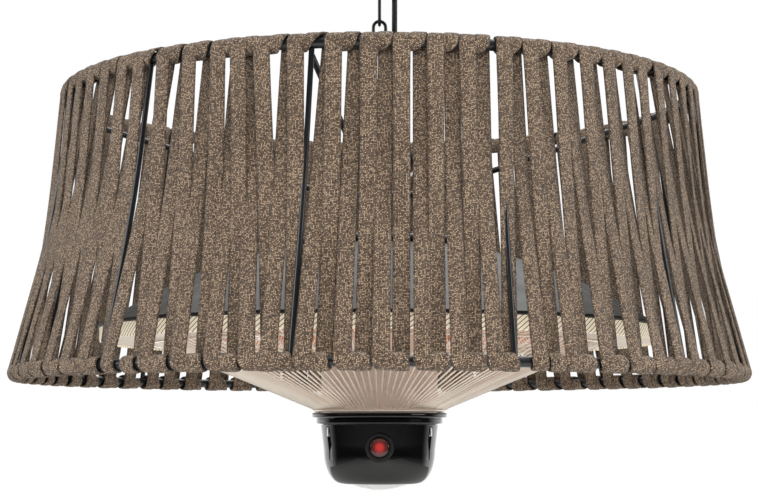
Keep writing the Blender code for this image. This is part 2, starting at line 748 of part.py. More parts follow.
def make_housing():
    cover_low = COVER_TOP_HEIGHT - COVER_THICKNESS
    edge = COVER_THICKNESS / 4
    profile = [
        (0, COVER_TOP_HEIGHT),
        (COVER_RADIUS - edge, COVER_TOP_HEIGHT),
        (COVER_RADIUS, COVER_TOP_HEIGHT - edge),
        (COVER_RADIUS, cover_low + edge),
        (COVER_RADIUS - edge, cover_low),
        (0, cover_low),
    ]
    turned("housing_cover", profile, gloss_black(), MEDIUM_STEPS)
    body_start = STEP_HEIGHT + edge
    depths = [body_start + (BODY_WAIST_DEPTH - body_start) * share for share in (0, 1)]
    round_steps = 5
    for step in range(1, round_steps + 1):
        sweep = math.sin(step / round_steps * math.pi / 2)
        depths.append(BODY_WAIST_DEPTH + (BODY_DEPTH - BODY_WAIST_DEPTH) * sweep)
    profile = [
        (0, BODY_TOP),
        (STEP_RADIUS, BODY_TOP),
        (STEP_RADIUS, BODY_TOP - STEP_HEIGHT),
        *((housing_radius(depth), BODY_TOP - depth) for depth in depths),
        (0, BODY_BOTTOM),
    ]
    body = turned("control_housing", profile, gloss_black(), MEDIUM_STEPS)
    groove_top = BODY_TOP - body_start - edge
    for index, azimuth in enumerate((-GROOVE_AZIMUTH, GROOVE_AZIMUTH, math.pi)):
        reach = BODY_TOP_RADIUS - GROOVE_DEPTH
        deep = GROOVE_DEPTH + CUT_OVERRUN
        middle = reach + deep / 2
        height = groove_top - GROOVE_LENGTH / 2
        bm = box_mesh((GROOVE_WIDTH, deep, GROOVE_LENGTH), (0, -middle, height), azimuth)
        cut(body, add_cutter(f"groove_cutter_{index + 1}", bm))
        clip_middle = -(reach + RUNNING_GAP + CLIP_THICKNESS / 2)
        clip_height = groove_top - RUNNING_GAP - CLIP_LENGTH / 2
        bm = box_mesh((CLIP_WIDTH, CLIP_THICKNESS, CLIP_LENGTH), (0, clip_middle, clip_height), azimuth)
        mesh_object(f"housing_clip_{index + 1}", bm, bright_steel())
    cut(body, add_cutter("bezel_cutter", facing_cylinder(BEZEL_RADIUS + RUNNING_GAP, bezel_back())))
    cut(body, add_cutter("button_cutter", facing_cylinder(BUTTON_RADIUS + RUNNING_GAP, button_floor())))
    pocket_depth = LENS_SEAT + LED_BOARD_THICKNESS + RUNNING_GAP * 2
    bm = bmesh.new()
    bmesh.ops.create_cone(
        bm,
        cap_ends=True,
        segments=MEDIUM_STEPS,
        radius1=LENS_RADIUS + RUNNING_GAP,
        radius2=LENS_RADIUS + RUNNING_GAP,
        depth=pocket_depth + CUT_OVERRUN,
    )
    bmesh.ops.translate(bm, vec=(0, 0, BODY_BOTTOM + (pocket_depth - CUT_OVERRUN) / 2), verts=bm.verts)
    cut(body, add_cutter("lens_cutter", bm))


def button_front():
    return -(housing_radius(BODY_TOP - BUTTON_HEIGHT) + BUTTON_PROUD)


def bezel_front():
    return -(housing_radius(BODY_TOP - BUTTON_HEIGHT) + BEZEL_PROUD)


def bezel_back():
    return bezel_front() + BEZEL_LENGTH + RUNNING_GAP


def button_floor():
    return button_front() + BUTTON_LENGTH + BUTTON_TRAVEL + RUNNING_GAP


def facing_cylinder(radius, floor):
    """A cutter bmesh from a floor inside the housing out past its front."""
    front = -(BODY_TOP_RADIUS + CUT_OVERRUN)
    bm = bmesh.new()
    bmesh.ops.create_cone(
        bm,
        cap_ends=True,
        segments=SMALL_STEPS,
        radius1=radius,
        radius2=radius,
        depth=floor - front,
    )
    bmesh.ops.rotate(bm, cent=(0, 0, 0), matrix=Matrix.Rotation(math.pi / 2, 3, "X"), verts=bm.verts)
    bmesh.ops.translate(bm, vec=(0, (floor + front) / 2, BUTTON_HEIGHT), verts=bm.verts)
    return bm


def make_button():
    """The button and its bezel are turned about their own axis and face the front."""
    facing = (math.pi / 2, 0, 0)
    bore = BUTTON_RADIUS + RUNNING_GAP
    chamfer = BEZEL_PROUD
    profile = [
        (bore, 0),
        (bore + chamfer, BEZEL_PROUD),
        (BEZEL_RADIUS - chamfer, BEZEL_PROUD),
        (BEZEL_RADIUS, 0),
        (BEZEL_RADIUS, BEZEL_PROUD - BEZEL_LENGTH),
        (bore, BEZEL_PROUD - BEZEL_LENGTH),
    ]
    bezel = turned("button_bezel", profile, soft_black(), SMALL_STEPS, closed=True)
    bezel.location = (0, bezel_front() + BEZEL_PROUD, BUTTON_HEIGHT)
    bezel.rotation_euler = facing
    crown_shares = ((0, 0), (0.5, 0.2), (0.85, 0.6), (1, 1))
    profile = [(BUTTON_RADIUS * out, -BUTTON_DOME * down) for out, down in crown_shares]
    profile += [(BUTTON_RADIUS, -BUTTON_LENGTH), (0, -BUTTON_LENGTH)]
    button = turned("power_button", profile, red_lens(), SMALL_STEPS)
    button.location = (0, button_front(), BUTTON_HEIGHT)
    button.rotation_euler = facing


def make_lamp_lens():
    """Round white lens under the housing, with the board of its lights above it."""
    board_top = BODY_BOTTOM + LENS_SEAT + LED_BOARD_THICKNESS + RUNNING_GAP
    board_low = board_top - LED_BOARD_THICKNESS
    profile = [(0, board_top), (LENS_RADIUS, board_top), (LENS_RADIUS, board_low), (0, board_low)]
    turned("led_board", profile, circuit_board(), SMALL_STEPS)
    lens_top = board_low - RUNNING_GAP
    sphere = (LENS_RADIUS**2 + LENS_DOME**2) / (2 * LENS_DOME)
    widest = math.asin(LENS_RADIUS / sphere)
    steps = 4
    profile = [(0, lens_top), (LENS_RADIUS, lens_top)]
    for step in range(steps + 1):
        angle = widest * (1 - step / steps)
        drop = sphere * math.cos(angle) - sphere * math.cos(widest)
        profile.append((sphere * math.sin(angle), BODY_BOTTOM - drop))
    turned("led_lens", profile, white_lens(), SMALL_STEPS)


def make_eye_bolt():
    """Eye in the YZ plane on a shank that passes the nut and the hub plate into the stem."""
    stations = 17
    points = []
    for step in range(stations):
        angle = -math.pi / 2 + math.tau * step / stations
        points.append((0, EYE_RADIUS * math.cos(angle), EYE_RADIUS * math.sin(angle)))
    ring = rod("eye_ring_curve", points, EYE_WIRE, bright_steel(), cyclic=True)
    ring.location = (0, 0, EYE_CENTRE)
    ring_mesh = curve_to_mesh(ring, "eye_ring")
    low = HUB_HEIGHT - STEM_BORE_DEPTH
    top = EYE_CENTRE - EYE_RADIUS
    profile = [(0, top), (BOLT_RADIUS, top), (BOLT_RADIUS, low), (0, low)]
    bolt = turned("eye_bolt", profile, bright_steel(), TINY_STEPS)
    union = bolt.modifiers.new("eye", "BOOLEAN")
    union.operation = "UNION"
    union.solver = "EXACT"
    union.object = ring_mesh
    bm = bmesh.new()
    bmesh.ops.create_cone(
        bm,
        cap_ends=True,
        segments=6,
        radius1=NUT_RADIUS,
        radius2=NUT_RADIUS,
        depth=NUT_HEIGHT,
    )
    bmesh.ops.translate(bm, vec=(0, 0, NUT_BOTTOM + NUT_HEIGHT / 2), verts=bm.verts)
    nut = mesh_object("eye_nut", bm, bright_steel())
    bm = bmesh.new()
    bmesh.ops.create_cone(
        bm,
        cap_ends=True,
        segments=TINY_STEPS,
        radius1=BOLT_RADIUS + RUNNING_GAP,
        radius2=BOLT_RADIUS + RUNNING_GAP,
        depth=NUT_HEIGHT + CUT_OVERRUN,
    )
    bmesh.ops.translate(bm, vec=(0, 0, NUT_BOTTOM + NUT_HEIGHT / 2), verts=bm.verts)
    cut(nut, add_cutter("nut_cutter", bm))


def link_points():
    """Stadium-shaped centre line of a link in the XZ plane, round its own middle."""
    crown = LINK_INNER_WIDTH / 2 + LINK_WIRE
    straight = LINK_INNER_LENGTH / 2 - LINK_INNER_WIDTH / 2
    steps = 6
    points = []
    for end in (1, -1):
        for step in range(steps + 1):
            angle = math.pi * step / steps
            x = end * crown * math.cos(angle)
            z = end * (straight + crown * math.sin(angle))
            points.append((x, 0, z))
    return points


def make_chain():
    """Six long links from the ceiling hook to the eye, turned a quarter from one to the next.

    Each link's origin is where it turns: the first in the hook, the last on its own upper end,
    and those between, which hang straight together, in the lower end of the first.
    """
    points = [Vector(point) for point in link_points()]
    pivots = [FIRST_LINK_HEIGHT - LINK_END] * LINK_COUNT
    pivots[0] = HOOK_LOW
    pivots[-1] = LAST_LINK_HEIGHT + LINK_END
    for index, pivot in enumerate(pivots):
        height = FIRST_LINK_HEIGHT - index * LINK_PITCH
        moved = [point + Vector((0, 0, height - pivot)) for point in points]
        link = rod(f"chain_link_{index + 1}", moved, LINK_WIRE, black_steel(), 1, cyclic=True)
        link.location = (0, 0, pivot)
        link.rotation_euler = (0, 0, math.pi / 2 * ((index + 1) % 2))


def make_ceiling():
    """Round ceiling plate with an open hook and a gland for the cable."""
    profile = [
        (0, PLATE_TOP),
        (PLATE_RADIUS, PLATE_TOP),
        (PLATE_RADIUS, PLATE_TOP - PLATE_EDGE),
        (PLATE_RADIUS - PLATE_EDGE / 2, PLATE_BOTTOM + PLATE_EDGE / 2),
        (PLATE_RADIUS - PLATE_EDGE * 2, PLATE_BOTTOM),
        (0, PLATE_BOTTOM),
    ]
    turned("ceiling_plate", profile, soft_black(), SMALL_STEPS)
    points = []
    bend_steps = 14
    sweep = math.radians(225) + HOOK_MOUTH_ANGLE
    for step in range(bend_steps + 1):
        angle = HOOK_MOUTH_ANGLE - sweep * step / bend_steps
        points.append((HOOK_RADIUS * math.cos(angle), 0, HOOK_CENTRE + HOOK_RADIUS * math.sin(angle)))
    neck_steps = 3
    for step in range(1, neck_steps + 1):
        angle = -math.pi / 4 * (1 - step / neck_steps)
        x = -HOOK_NECK_RADIUS + HOOK_NECK_RADIUS * math.cos(angle)
        points.append((x, 0, HOOK_NECK_TOP + HOOK_NECK_RADIUS * math.sin(angle)))
    points.append((0, 0, PLATE_BOTTOM - RUNNING_GAP))
    rod("ceiling_hook", points, HOOK_WIRE, black_steel())


def gland(name, offset, seat, way):
    """A cable gland that stands off its seat upwards (way 1) or downwards (way -1)."""
    bore = CABLE_RADIUS + RUNNING_GAP
    lip = GLAND_RADIUS - GLAND_NECK
    profile = [
        (bore, GLAND_HEIGHT),
        (GLAND_NECK, GLAND_HEIGHT),
        (GLAND_RADIUS, GLAND_HEIGHT - lip),
        (GLAND_RADIUS, 0),
        (bore, 0),
    ]
    made = turned(name, profile, soft_black(), TINY_STEPS, closed=True)
    made.location = (offset, CABLE_DEPTH, seat)
    if way < 0:
        made.rotation_euler = (math.pi, 0, 0)


def make_cable():
    """The supply cable hangs beside the chain and curves out to its gland on the cap."""
    low_seat = CAP_TOP + RUNNING_GAP
    high_seat = PLATE_BOTTOM - RUNNING_GAP
    gland("cable_gland_lower", CABLE_LOW_OFFSET, low_seat, 1)
    gland("cable_gland_upper", CABLE_OFFSET, high_seat, -1)
    start = low_seat + RUNNING_GAP
    end = high_seat - RUNNING_GAP
    out = low_seat + GLAND_HEIGHT
    # Route by hand: (share of the way up, share of the way from the chain side to the gland)
    route_shares = [(0.0, 1.0), (0.1, 1.0), (0.18, 0.94), (0.28, 0.55), (0.38, 0.14), (0.48, 0.0), (1.0, 0.0)]
    rise = end - out
    places = [Vector((CABLE_LOW_OFFSET, CABLE_DEPTH, start))]
    for up, aside in route_shares:
        x = CABLE_OFFSET + (CABLE_LOW_OFFSET - CABLE_OFFSET) * aside
        places.append(Vector((x, CABLE_DEPTH, out + rise * up)))
    rod("power_cable", smooth_route(places, CABLE_RADIUS * 5.5), CABLE_RADIUS, soft_black())


def smooth_route(places, spacing):
    """Points at even spacing along a smooth curve through the given places."""
    fine = []
    for index in range(len(places) - 1):
        before = places[max(index - 1, 0)]
        start = places[index]
        end = places[index + 1]
        after = places[min(index + 2, len(places) - 1)]
        for step in range(12):
            t = step / 12
            fine.append(
                0.5
                * (
                    2 * start
                    + (end - before) * t
                    + (2 * before - 5 * start + 4 * end - after) * t**2
                    + (3 * start - before - 3 * end + after) * t**3
                )
            )
    fine.append(places[-1])
    lengths = [0.0]
    for first, second in zip(fine, fine[1:]):
        lengths.append(lengths[-1] + (second - first).length)
    count = max(2, round(lengths[-1] / spacing))
    points = []
    index = 0
    for step in range(count + 1):
        target = lengths[-1] * step / count
        while index < len(lengths) - 2 and lengths[index + 1] < target:
            index += 1
        span = lengths[index + 1] - lengths[index]
        points.append(fine[index].lerp(fine[index + 1], (target - lengths[index]) / span))
    print(f"power cable: {lengths[-1] * 1000:.0f} mm in {len(points)} points")
    return points


clear_scene()
HEATER = make_collection("hanging_patio_heater")
CUTTERS = make_collection("cutters")
LOWERED = bpy.data.objects.new("lowered_from_ceiling", None)
HEATER.objects.link(LOWERED)
LOWERED.location = (0, 0, -PLATE_TOP)
bpy.context.view_layer.update()
make_hoops()
make_ribs()
make_straps()
make_spider()
make_dome()
make_rim()
make_cap()
make_reflector()
make_lamps()
make_guard()
make_centre_tube()
make_housing()
make_button()
make_lamp_lens()
make_eye_bolt()
make_chain()
make_ceiling()
make_cable()
for label, height in (
    ("ceiling face", PLATE_TOP),
    ("hook pivot", HOOK_LOW),
    ("first link to chain pivot", FIRST_LINK_HEIGHT - LINK_END),
    ("chain to last link pivot", LAST_LINK_HEIGHT + LINK_END),
    ("eye pivot", EYE_TOP),
    ("button axis", BUTTON_HEIGHT),
):
    print(f"{label}: {(height - PLATE_TOP) * 1000:.2f} mm")
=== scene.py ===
# %% [markdown]
# # Dressing a hanging patio heater
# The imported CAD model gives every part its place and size. This script lays the visible surfaces
# over it: a woven strap wound round two steel hoops, a domed heater head with a wire guard, a
# glossy control housing, a chain and a supply cable. A part whose CAD shape is already right keeps
# it and only gets a finish. A part that needs finer form is modelled again in the same place.

# %% Load the fixed frame
import math

import bmesh
import bpy
from mathutils import Matrix, Vector


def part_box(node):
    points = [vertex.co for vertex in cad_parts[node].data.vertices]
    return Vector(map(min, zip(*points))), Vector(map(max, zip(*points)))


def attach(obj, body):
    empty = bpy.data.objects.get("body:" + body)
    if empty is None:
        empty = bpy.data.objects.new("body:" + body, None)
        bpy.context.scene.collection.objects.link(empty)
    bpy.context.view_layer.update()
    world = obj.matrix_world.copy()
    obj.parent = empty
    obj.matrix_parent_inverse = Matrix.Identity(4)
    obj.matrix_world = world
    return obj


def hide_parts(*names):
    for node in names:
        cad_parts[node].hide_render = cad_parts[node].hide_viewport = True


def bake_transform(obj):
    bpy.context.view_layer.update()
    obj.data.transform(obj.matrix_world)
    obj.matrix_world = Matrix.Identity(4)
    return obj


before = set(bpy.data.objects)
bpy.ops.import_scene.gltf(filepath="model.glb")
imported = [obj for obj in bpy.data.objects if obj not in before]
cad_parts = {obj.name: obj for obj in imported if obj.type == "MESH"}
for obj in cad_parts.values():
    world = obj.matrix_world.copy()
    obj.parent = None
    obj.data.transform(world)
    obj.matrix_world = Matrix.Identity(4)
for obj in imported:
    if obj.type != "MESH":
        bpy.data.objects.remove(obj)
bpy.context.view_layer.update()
SCENE = bpy.context.scene
# The ceiling plate's top is at zero. Pieces are drawn from the shade's foot, this far below it.
SHADE_FOOT = -0.3597

# %% [markdown]
# ## Camera first
# The camera stands a little below the shade and looks up by less than six degrees, as the
# photograph does. A long lens keeps the hoops nearly flat ellipses. The lens is fitted to a picture
# of 759 by 497. A model is easier to compare with its photograph when the camera is placed before
# anything else.

# %% Camera
CAMERA_PLACE = (0.0, -1.58717, -0.40493)
CAMERA_TILT = 0.09778
camera_data = bpy.data.cameras.new("camera")
camera_data.lens = 91.47
camera_data.sensor_width = 36.0
camera_data.clip_start = 0.05
camera = bpy.data.objects.new("camera", camera_data)
camera.location = CAMERA_PLACE
camera.rotation_euler = (math.pi / 2 + CAMERA_TILT, 0.0, 0.0)
SCENE.collection.objects.link(camera)
SCENE.camera = camera
SCENE.view_settings.view_transform = "Standard"
print("camera at", CAMERA_PLACE)

# %% [markdown]
# ## Studio
# A product photograph of this kind is shot on white with large soft lights. Rays from the camera
# see a white world. Shiny parts see a studio: white behind, below and straight above the heater,
# and dark near the camera, where the room is. That contrast is what makes gloss readable. Diffuse
# surfaces get an even light, and a large lamp near the camera reaches the inner strap too.

# %% World and lamps
world = bpy.data.worlds.new("studio")
SCENE.world = world
world.use_nodes = True
sky = world.node_tree
sky.nodes.clear()


def sky_node(kind, settings=None, inputs=None):
    """Adds one node to the world: its settings first, then its sockets."""
    made = sky.nodes.new(kind)
    for name, value in (settings or {}).items():
        setattr(made, name, value)
    for name, value in (inputs or {}).items():
        if isinstance(value, bpy.types.NodeSocket):
            sky.links.new(value, made.inputs[name])
        else:
            made.inputs[name].default_value = value
    return made


def glow_towards(axis, low, high, darkest, brightest):
    """How bright the mirrored studio is along one axis of the view direction."""
    ends = {"Value": axis, "From Min": low, "From Max": high, "To Min": darkest, "To Max": brightest}
    return sky_node("ShaderNodeMapRange", {"interpolation_type": "SMOOTHSTEP"}, ends).outputs[0]


def brighter(first, second):
    return sky_node("ShaderNodeMath", {"operation": "MAXIMUM"}, {0: first, 1: second}).outputs[0]


rays = sky_node("ShaderNodeLightPath")
direction = sky_node("ShaderNodeTexCoord")
axes = sky_node("ShaderNodeSeparateXYZ", inputs={0: direction.outputs["Generated"]})
behind = glow_towards(axes.outputs["Y"], 0.1, 0.65, 0.04, 1.6)
below = glow_towards(axes.outputs["Z"], -0.55, -0.1, 0.85, 0.0)
above = glow_towards(axes.outputs["Z"], 0.45, 0.9, 0.0, 0.9)
studio_gloss = brighter(behind, brighter(below, above))
seen = sky_node("ShaderNodeBackground", inputs={"Color": (1, 1, 1, 1), "Strength": 1.0})
mirrored = sky_node("ShaderNodeBackground", inputs={"Color": (1, 1, 1, 1), "Strength": studio_gloss})
ambient = sky_node("ShaderNodeBackground", inputs={"Color": (1.0, 0.99, 0.97, 1), "Strength": 0.55})
shiny = brighter(rays.outputs["Is Glossy Ray"], rays.outputs["Is Transmission Ray"])
lit = sky_node("ShaderNodeMixShader", inputs={0: shiny, 1: ambient.outputs[0], 2: mirrored.outputs[0]})
by_camera = {0: rays.outputs["Is Camera Ray"], 1: lit.outputs[0], 2: seen.outputs[0]}
shown = sky_node("ShaderNodeMixShader", inputs=by_camera)
sky_node("ShaderNodeOutputWorld", inputs={"Surface": shown.outputs[0]})


def soft_lamp(name, place, size, power, mirrored_too=True):
    """A large square area light at a place, turned towards the heater."""
    data = bpy.data.lights.new(name, "AREA")
    data.shape = "SQUARE"
    data.size = size
    data.energy = power
    lamp = bpy.data.objects.new(name, data)
    lamp.location = place
    lamp.rotation_euler = (Vector((0, 0, -0.3)) - Vector(place)).to_track_quat("-Z", "Y").to_euler()
    lamp.visible_glossy = mirrored_too
    SCENE.collection.objects.link(lamp)
    return lamp


soft_lamp("front", (0.3, -2.9, 0.5), 1.4, 42, mirrored_too=False)
soft_lamp("left", (-2.3, -0.9, 0.5), 1.2, 20)
soft_lamp("right", (2.3, -0.9, 0.3), 1.2, 18)
soft_lamp("top", (0.2, 0.6, 1.9), 1.8, 20)

# %% [markdown]
# ## Writing materials as sums
# A node tree is easier to read as arithmetic. `Flow` wraps a socket and turns `+`, `-`, `*` and `/`
# into Math nodes. `Finish` is one material: its method `node` adds any other node.


# %% The two material helpers
class Flow:
    """A socket that can be added, subtracted, multiplied and divided like a number."""

    def __init__(self, finish, socket):
        self.finish = finish
        self.socket = socket

    def combine(self, operation, first, second):
        return self.finish.node("ShaderNodeMath", {"operation": operation}, {0: first, 1: second})

    def __add__(self, other):
        return self.combine("ADD", self, other)

    def __radd__(self, other):
        return self.combine("ADD", other, self)

    def __sub__(self, other):
        return self.combine("SUBTRACT", self, other)

    def __rsub__(self, other):
        return self.combine("SUBTRACT", other, self)

    def __mul__(self, other):
        return self.combine("MULTIPLY", self, other)

    def __rmul__(self, other):
        return self.combine("MULTIPLY", other, self)

    def __truediv__(self, other):
        return self.combine("DIVIDE", self, other)

    def apply(self, operation, other=0.0):
        return self.combine(operation, self, other)


class Finish:
    """One material. Constants sit on the shader's own sockets, and `feed` links what varies."""

    def __init__(self, name, **constants):
        self.material = bpy.data.materials.new(name)
        self.material.use_nodes = True
        self.tree = self.material.node_tree
        self.shader = self.tree.nodes["Principled BSDF"]
        for key, value in constants.items():
            self.shader.inputs[key.replace("_", " ")].default_value = value

    def node(self, kind, settings=None, inputs=None, output=0):
        made = self.tree.nodes.new(kind)
        for name, value in (settings or {}).items():
            if name == "stops":
                while len(made.color_ramp.elements) < len(value):
                    made.color_ramp.elements.new(0.5)
                for element, (position, colour) in zip(made.color_ramp.elements, value):
                    element.position = position
                    element.color = (*colour, 1.0)
            else:
                setattr(made, name, value)
        for name, value in (inputs or {}).items():
            if isinstance(value, Flow):
                self.tree.links.new(value.socket, made.inputs[name])
            else:
                made.inputs[name].default_value = value
        return Flow(self, made.outputs[output])

    def place(self):
        """Object coordinates, in metres."""
        return self.node("ShaderNodeTexCoord", output="Object")

    def along(self):
        """The piece's own map: metres along it and metres across it."""
        vector = self.node("ShaderNodeUVMap", {"uv_map": "metres"})
        split = {0: vector}
        return (
            self.node("ShaderNodeSeparateXYZ", inputs=split, output="X"),
            self.node("ShaderNodeSeparateXYZ", inputs=split, output="Y"),
        )

    def noise(self, scale, detail=2.0, vector=None):
        inputs = {"Vector": vector or self.place(), "Scale": scale, "Detail": detail}
        return self.node("ShaderNodeTexNoise", inputs=inputs)

    def ramp(self, factor, stops):
        return self.node("ShaderNodeValToRGB", {"stops": stops}, {0: factor})

    def spread(self, value, low, high, to_low=0.0, to_high=1.0):
        inputs = {"Value": value, "From Min": low, "From Max": high, "To Min": to_low, "To Max": to_high}
        return self.node("ShaderNodeMapRange", inputs=inputs)

    def blend(self, factor, first, second, mode="MIX"):
        settings = {"data_type": "RGBA", "blend_type": mode}
        colours = [c if isinstance(c, Flow) else (*c, 1.0) for c in (first, second)]
        return self.node("ShaderNodeMix", settings, {0: factor, 6: colours[0], 7: colours[1]}, 2)

    def bump(self, height, strength, distance):
        inputs = {"Height": height, "Strength": strength, "Distance": distance}
        return self.node("ShaderNodeBump", inputs=inputs)

    def feed(self, **flows):
        for key, flow in flows.items():
            self.tree.links.new(flow.socket, self.shader.inputs[key.replace("_", " ")])
        return self.material


def srgb(red, green, blue):
    """A colour named by the numbers a paint program shows, as linear light."""
    values = [channel / 255 for channel in (red, green, blue)]
    return tuple(v / 12.92 if v <= 0.04045 else ((v + 0.055) / 1.055) ** 2.4 for v in values)


print("mid grey in linear light:", round(srgb(128, 128, 128)[0], 3))

# %% [markdown]
# ## Braided strap
# The strap is a flat braided tube of mottled brown yarn. Two families of yarns run across each
# other at a slant and take turns on top, which gives a fine slanting chequer of stitches. Modelled
# yarns would need millions of faces, so the shader works the braid out. A map in metres follows
# each strap, and the braid turns round the hoops with it. Every stitch is a small rounded bump with
# its own tone. Painted shade darkens the hollows between stitches and the rolled edges of each
# strap.

# %% Strap cloth
# The size of a stitch, and the way across one face of the strap, from edge to edge.
STITCH = 0.0011
FACE_ROUND = 0.01291


def braided_cloth(name, light, middle, dark):
    """The braid, with painted shade in its hollows and at its edges; light, middle and dark are the tones
    that its stitches take.
    """
    cloth = Finish(name, Roughness=0.9, Specular_IOR_Level=0.2, Sheen_Weight=0.15, Sheen_Roughness=0.5)
    along, across = cloth.along()
    rising = (along + across) / STITCH
    falling = (along - across) / STITCH
    rising_row, falling_row = rising.apply("FLOOR"), falling.apply("FLOOR")
    rising_bump = (rising.apply("FRACT") * math.pi).apply("SINE")
    falling_bump = (falling.apply("FRACT") * math.pi).apply("SINE")
    on_top = (rising_row + falling_row).apply("FLOORED_MODULO", 2.0)
    over = rising_bump * (falling_bump * 0.45 + 0.55)
    under = falling_bump * (rising_bump * 0.45 + 0.55)
    height = over * on_top + under * (1 - on_top)
    cell = cloth.node("ShaderNodeCombineXYZ", inputs={"X": rising_row, "Y": falling_row})
    tone = cloth.node("ShaderNodeTexWhiteNoise", {"noise_dimensions": "2D"}, {"Vector": cell})
    mix = on_top * 0.34 + tone * 0.82 + cloth.noise(24.0, 2.0) * 0.2 - 0.2
    colour = cloth.ramp(mix, [(0.05, dark), (0.35, middle), (0.62, middle), (0.92, light)])
    # Painted shade: the colour darkens by stitch height in the hollows, and towards the strap's rolled
    # edges.
    face = ((across / FACE_ROUND).apply("FRACT") * math.pi).apply("SINE")
    edge = cloth.spread(face, 0.04, 0.42, 0.55, 1.0)
    shade = cloth.spread(height, 0.1, 0.9, 0.3, 1.42) * edge
    grey = cloth.node("ShaderNodeCombineColor", inputs={0: shade, 1: shade, 2: shade})
    bump = cloth.bump(height, 0.7, 0.0006)
    return cloth.feed(Base_Color=cloth.blend(1.0, colour, grey, "MULTIPLY"), Normal=bump)


YARN_TONES = (srgb(205, 179, 151), srgb(112, 95, 80), srgb(48, 38, 32))
STRAP_CLOTH = braided_cloth("strap_cloth_braided", *YARN_TONES)
print("cloth:", STRAP_CLOTH.name, "stitch", STITCH * 1000, "mm")

# %% [markdown]
# ## Painted steel, chrome and plastic
# Metal and moulded parts need quieter detail: the orange peel of powder paint, the fine grain of
# spun steel, dust that dulls a gloss a little. One flat colour would look like a toy, and strong
# marks would look like damage. So each finish below reads object coordinates and changes colour,
# roughness or the normal by a small amount.


# %% Hard finishes
def powder_paint(name, colour, roughness, coat=0.0):
    """Powder coat: a pebbled gloss with a faint change of tone."""
    paint = Finish(name, Coat_Weight=coat, Coat_Roughness=0.12)
    tone = paint.noise(35.0)
    pebble = paint.noise(1400.0, 1.0)
    lighter = tuple(channel * 1.25 + 0.004 for channel in colour)
    return paint.feed(
        Base_Color=paint.blend(tone, colour, lighter),
        Roughness=paint.spread(paint.noise(90.0), 0.3, 0.7, roughness - 0.05, roughness + 0.08),
        Normal=paint.bump(pebble, 0.12, 0.0002),
    )


def metal(name, colour, roughness, dulled, metallic=1.0, glow=0.0):
    """Bare metal with a fine grain; a lower metallic value is satin, and glow is painted light, an
    emission for lamplight mirrored in it.
    """
    skin = Finish(name, Metallic=metallic, Emission_Color=(*colour[:3], 1), Emission_Strength=glow)
    grain = skin.noise(160.0, 3.0)
    worn = tuple(channel * dulled for channel in colour)
    return skin.feed(
        Base_Color=skin.blend(skin.noise(30.0), colour, worn),
        Roughness=skin.spread(grain, 0.3, 0.7, roughness - 0.05, roughness + 0.08),
        Normal=skin.bump(grain, 0.05, 0.0002),
    )


def steel_with_painted_wire_reflections(name, colour, painted_wire_reflection, glow):
    """Bright steel crossed by slanting lines of painted reflection of the guard's wires, with a painted
    glow.
    """
    rim_radius, slant, pitch = 0.2283, 1.3, 0.0048
    # Painted light: the emission makes the band glow, and the slanting lines are painted reflections.
    steel = Finish(name, Metallic=0.15, Roughness=0.28, Emission_Strength=glow)
    place = {0: steel.place()}
    x, y, z = (steel.node("ShaderNodeSeparateXYZ", inputs=place, output=axis) for axis in "XYZ")
    around_it = x.apply("ARCTAN2", y) * rim_radius
    line = (((around_it + z * slant) / pitch) * math.tau).apply("SINE")
    tone = steel.blend(steel.spread(line, 0.35, 0.85), colour, painted_wire_reflection)
    return steel.feed(Base_Color=tone, Emission_Color=tone)


def moulded(name, colour, roughness, specular=0.5):
    """Moulded plastic or glaze: nearly even, with a soft tone and a faint ripple."""
    plastic = Finish(name, Specular_IOR_Level=specular)
    lighter = tuple(channel * 1.2 + 0.003 for channel in colour)
    return plastic.feed(
        Base_Color=plastic.blend(plastic.noise(60.0), colour, lighter),
        Roughness=plastic.spread(plastic.noise(120.0), 0.3, 0.7, roughness - 0.03, roughness + 0.05),
        Normal=plastic.bump(plastic.noise(500.0, 1.0), 0.03, 0.0002),
    )


BLACK_ROD = powder_paint("black_rod_paint", srgb(17, 18, 21), 0.32, 0.4)
CHAIN_BLACK = powder_paint("chain_black", srgb(17, 17, 18), 0.34, 0.3)
DOME_GREY = powder_paint("dome_grey_paint", srgb(56, 58, 54), 0.45, 0.1)
# The rim band's lines are painted reflections of the guard's wires, and its glow is painted light.
RIM_PAINTED_REFLECTIONS = steel_with_painted_wire_reflections("rim_steel_painted_reflections", srgb(248, 234, 208), srgb(120, 108, 94), 0.42)
DISH = metal("warm_dish", srgb(238, 218, 204), 0.2, 0.92, metallic=0.75)
CHROME = metal("guard_chrome", srgb(240, 228, 214), 0.16, 0.94, metallic=0.6)
# The sleeve's glow is painted light, standing in for the lamps and warm straps mirrored in it.
WARM_SLEEVE = metal("warm_sleeve", srgb(232, 214, 200), 0.16, 0.9, metallic=0.75, glow=0.2)
NICKEL = metal("nickel_fittings", srgb(196, 196, 194), 0.22, 0.88)
GLOSS_BLACK = moulded("gloss_black_shell", srgb(2, 2, 3), 0.06, 0.6)
SOFT_BLACK = moulded("soft_black_rubber", srgb(24, 24, 25), 0.5)
CERAMIC = moulded("glazed_ceramic", srgb(226, 222, 212), 0.45)
LENS_WHITE = moulded("milky_lens", srgb(222, 222, 222), 0.22)
BOARD = moulded("white_circuit_board", srgb(196, 200, 196), 0.4)
print("finishes:", len([m for m in bpy.data.materials if m.use_nodes]))

# %% [markdown]
# ## Glowing and coloured parts
# The lamps are gold coated quartz tubes with a heating coil inside. A wire coil in clear glass
# would be slow to render, and the tubes are seen only through gaps, so the coil's turns are bright
# bands along the tube. The switch is a red translucent button. Its lit core is a blend by the
# distance from the middle, which stays sharp at any size.

# %% Lamp and button finishes
COIL_PITCH = 0.0042
OWN_GLOW = 0.3
BUTTON_HEIGHT = -0.053


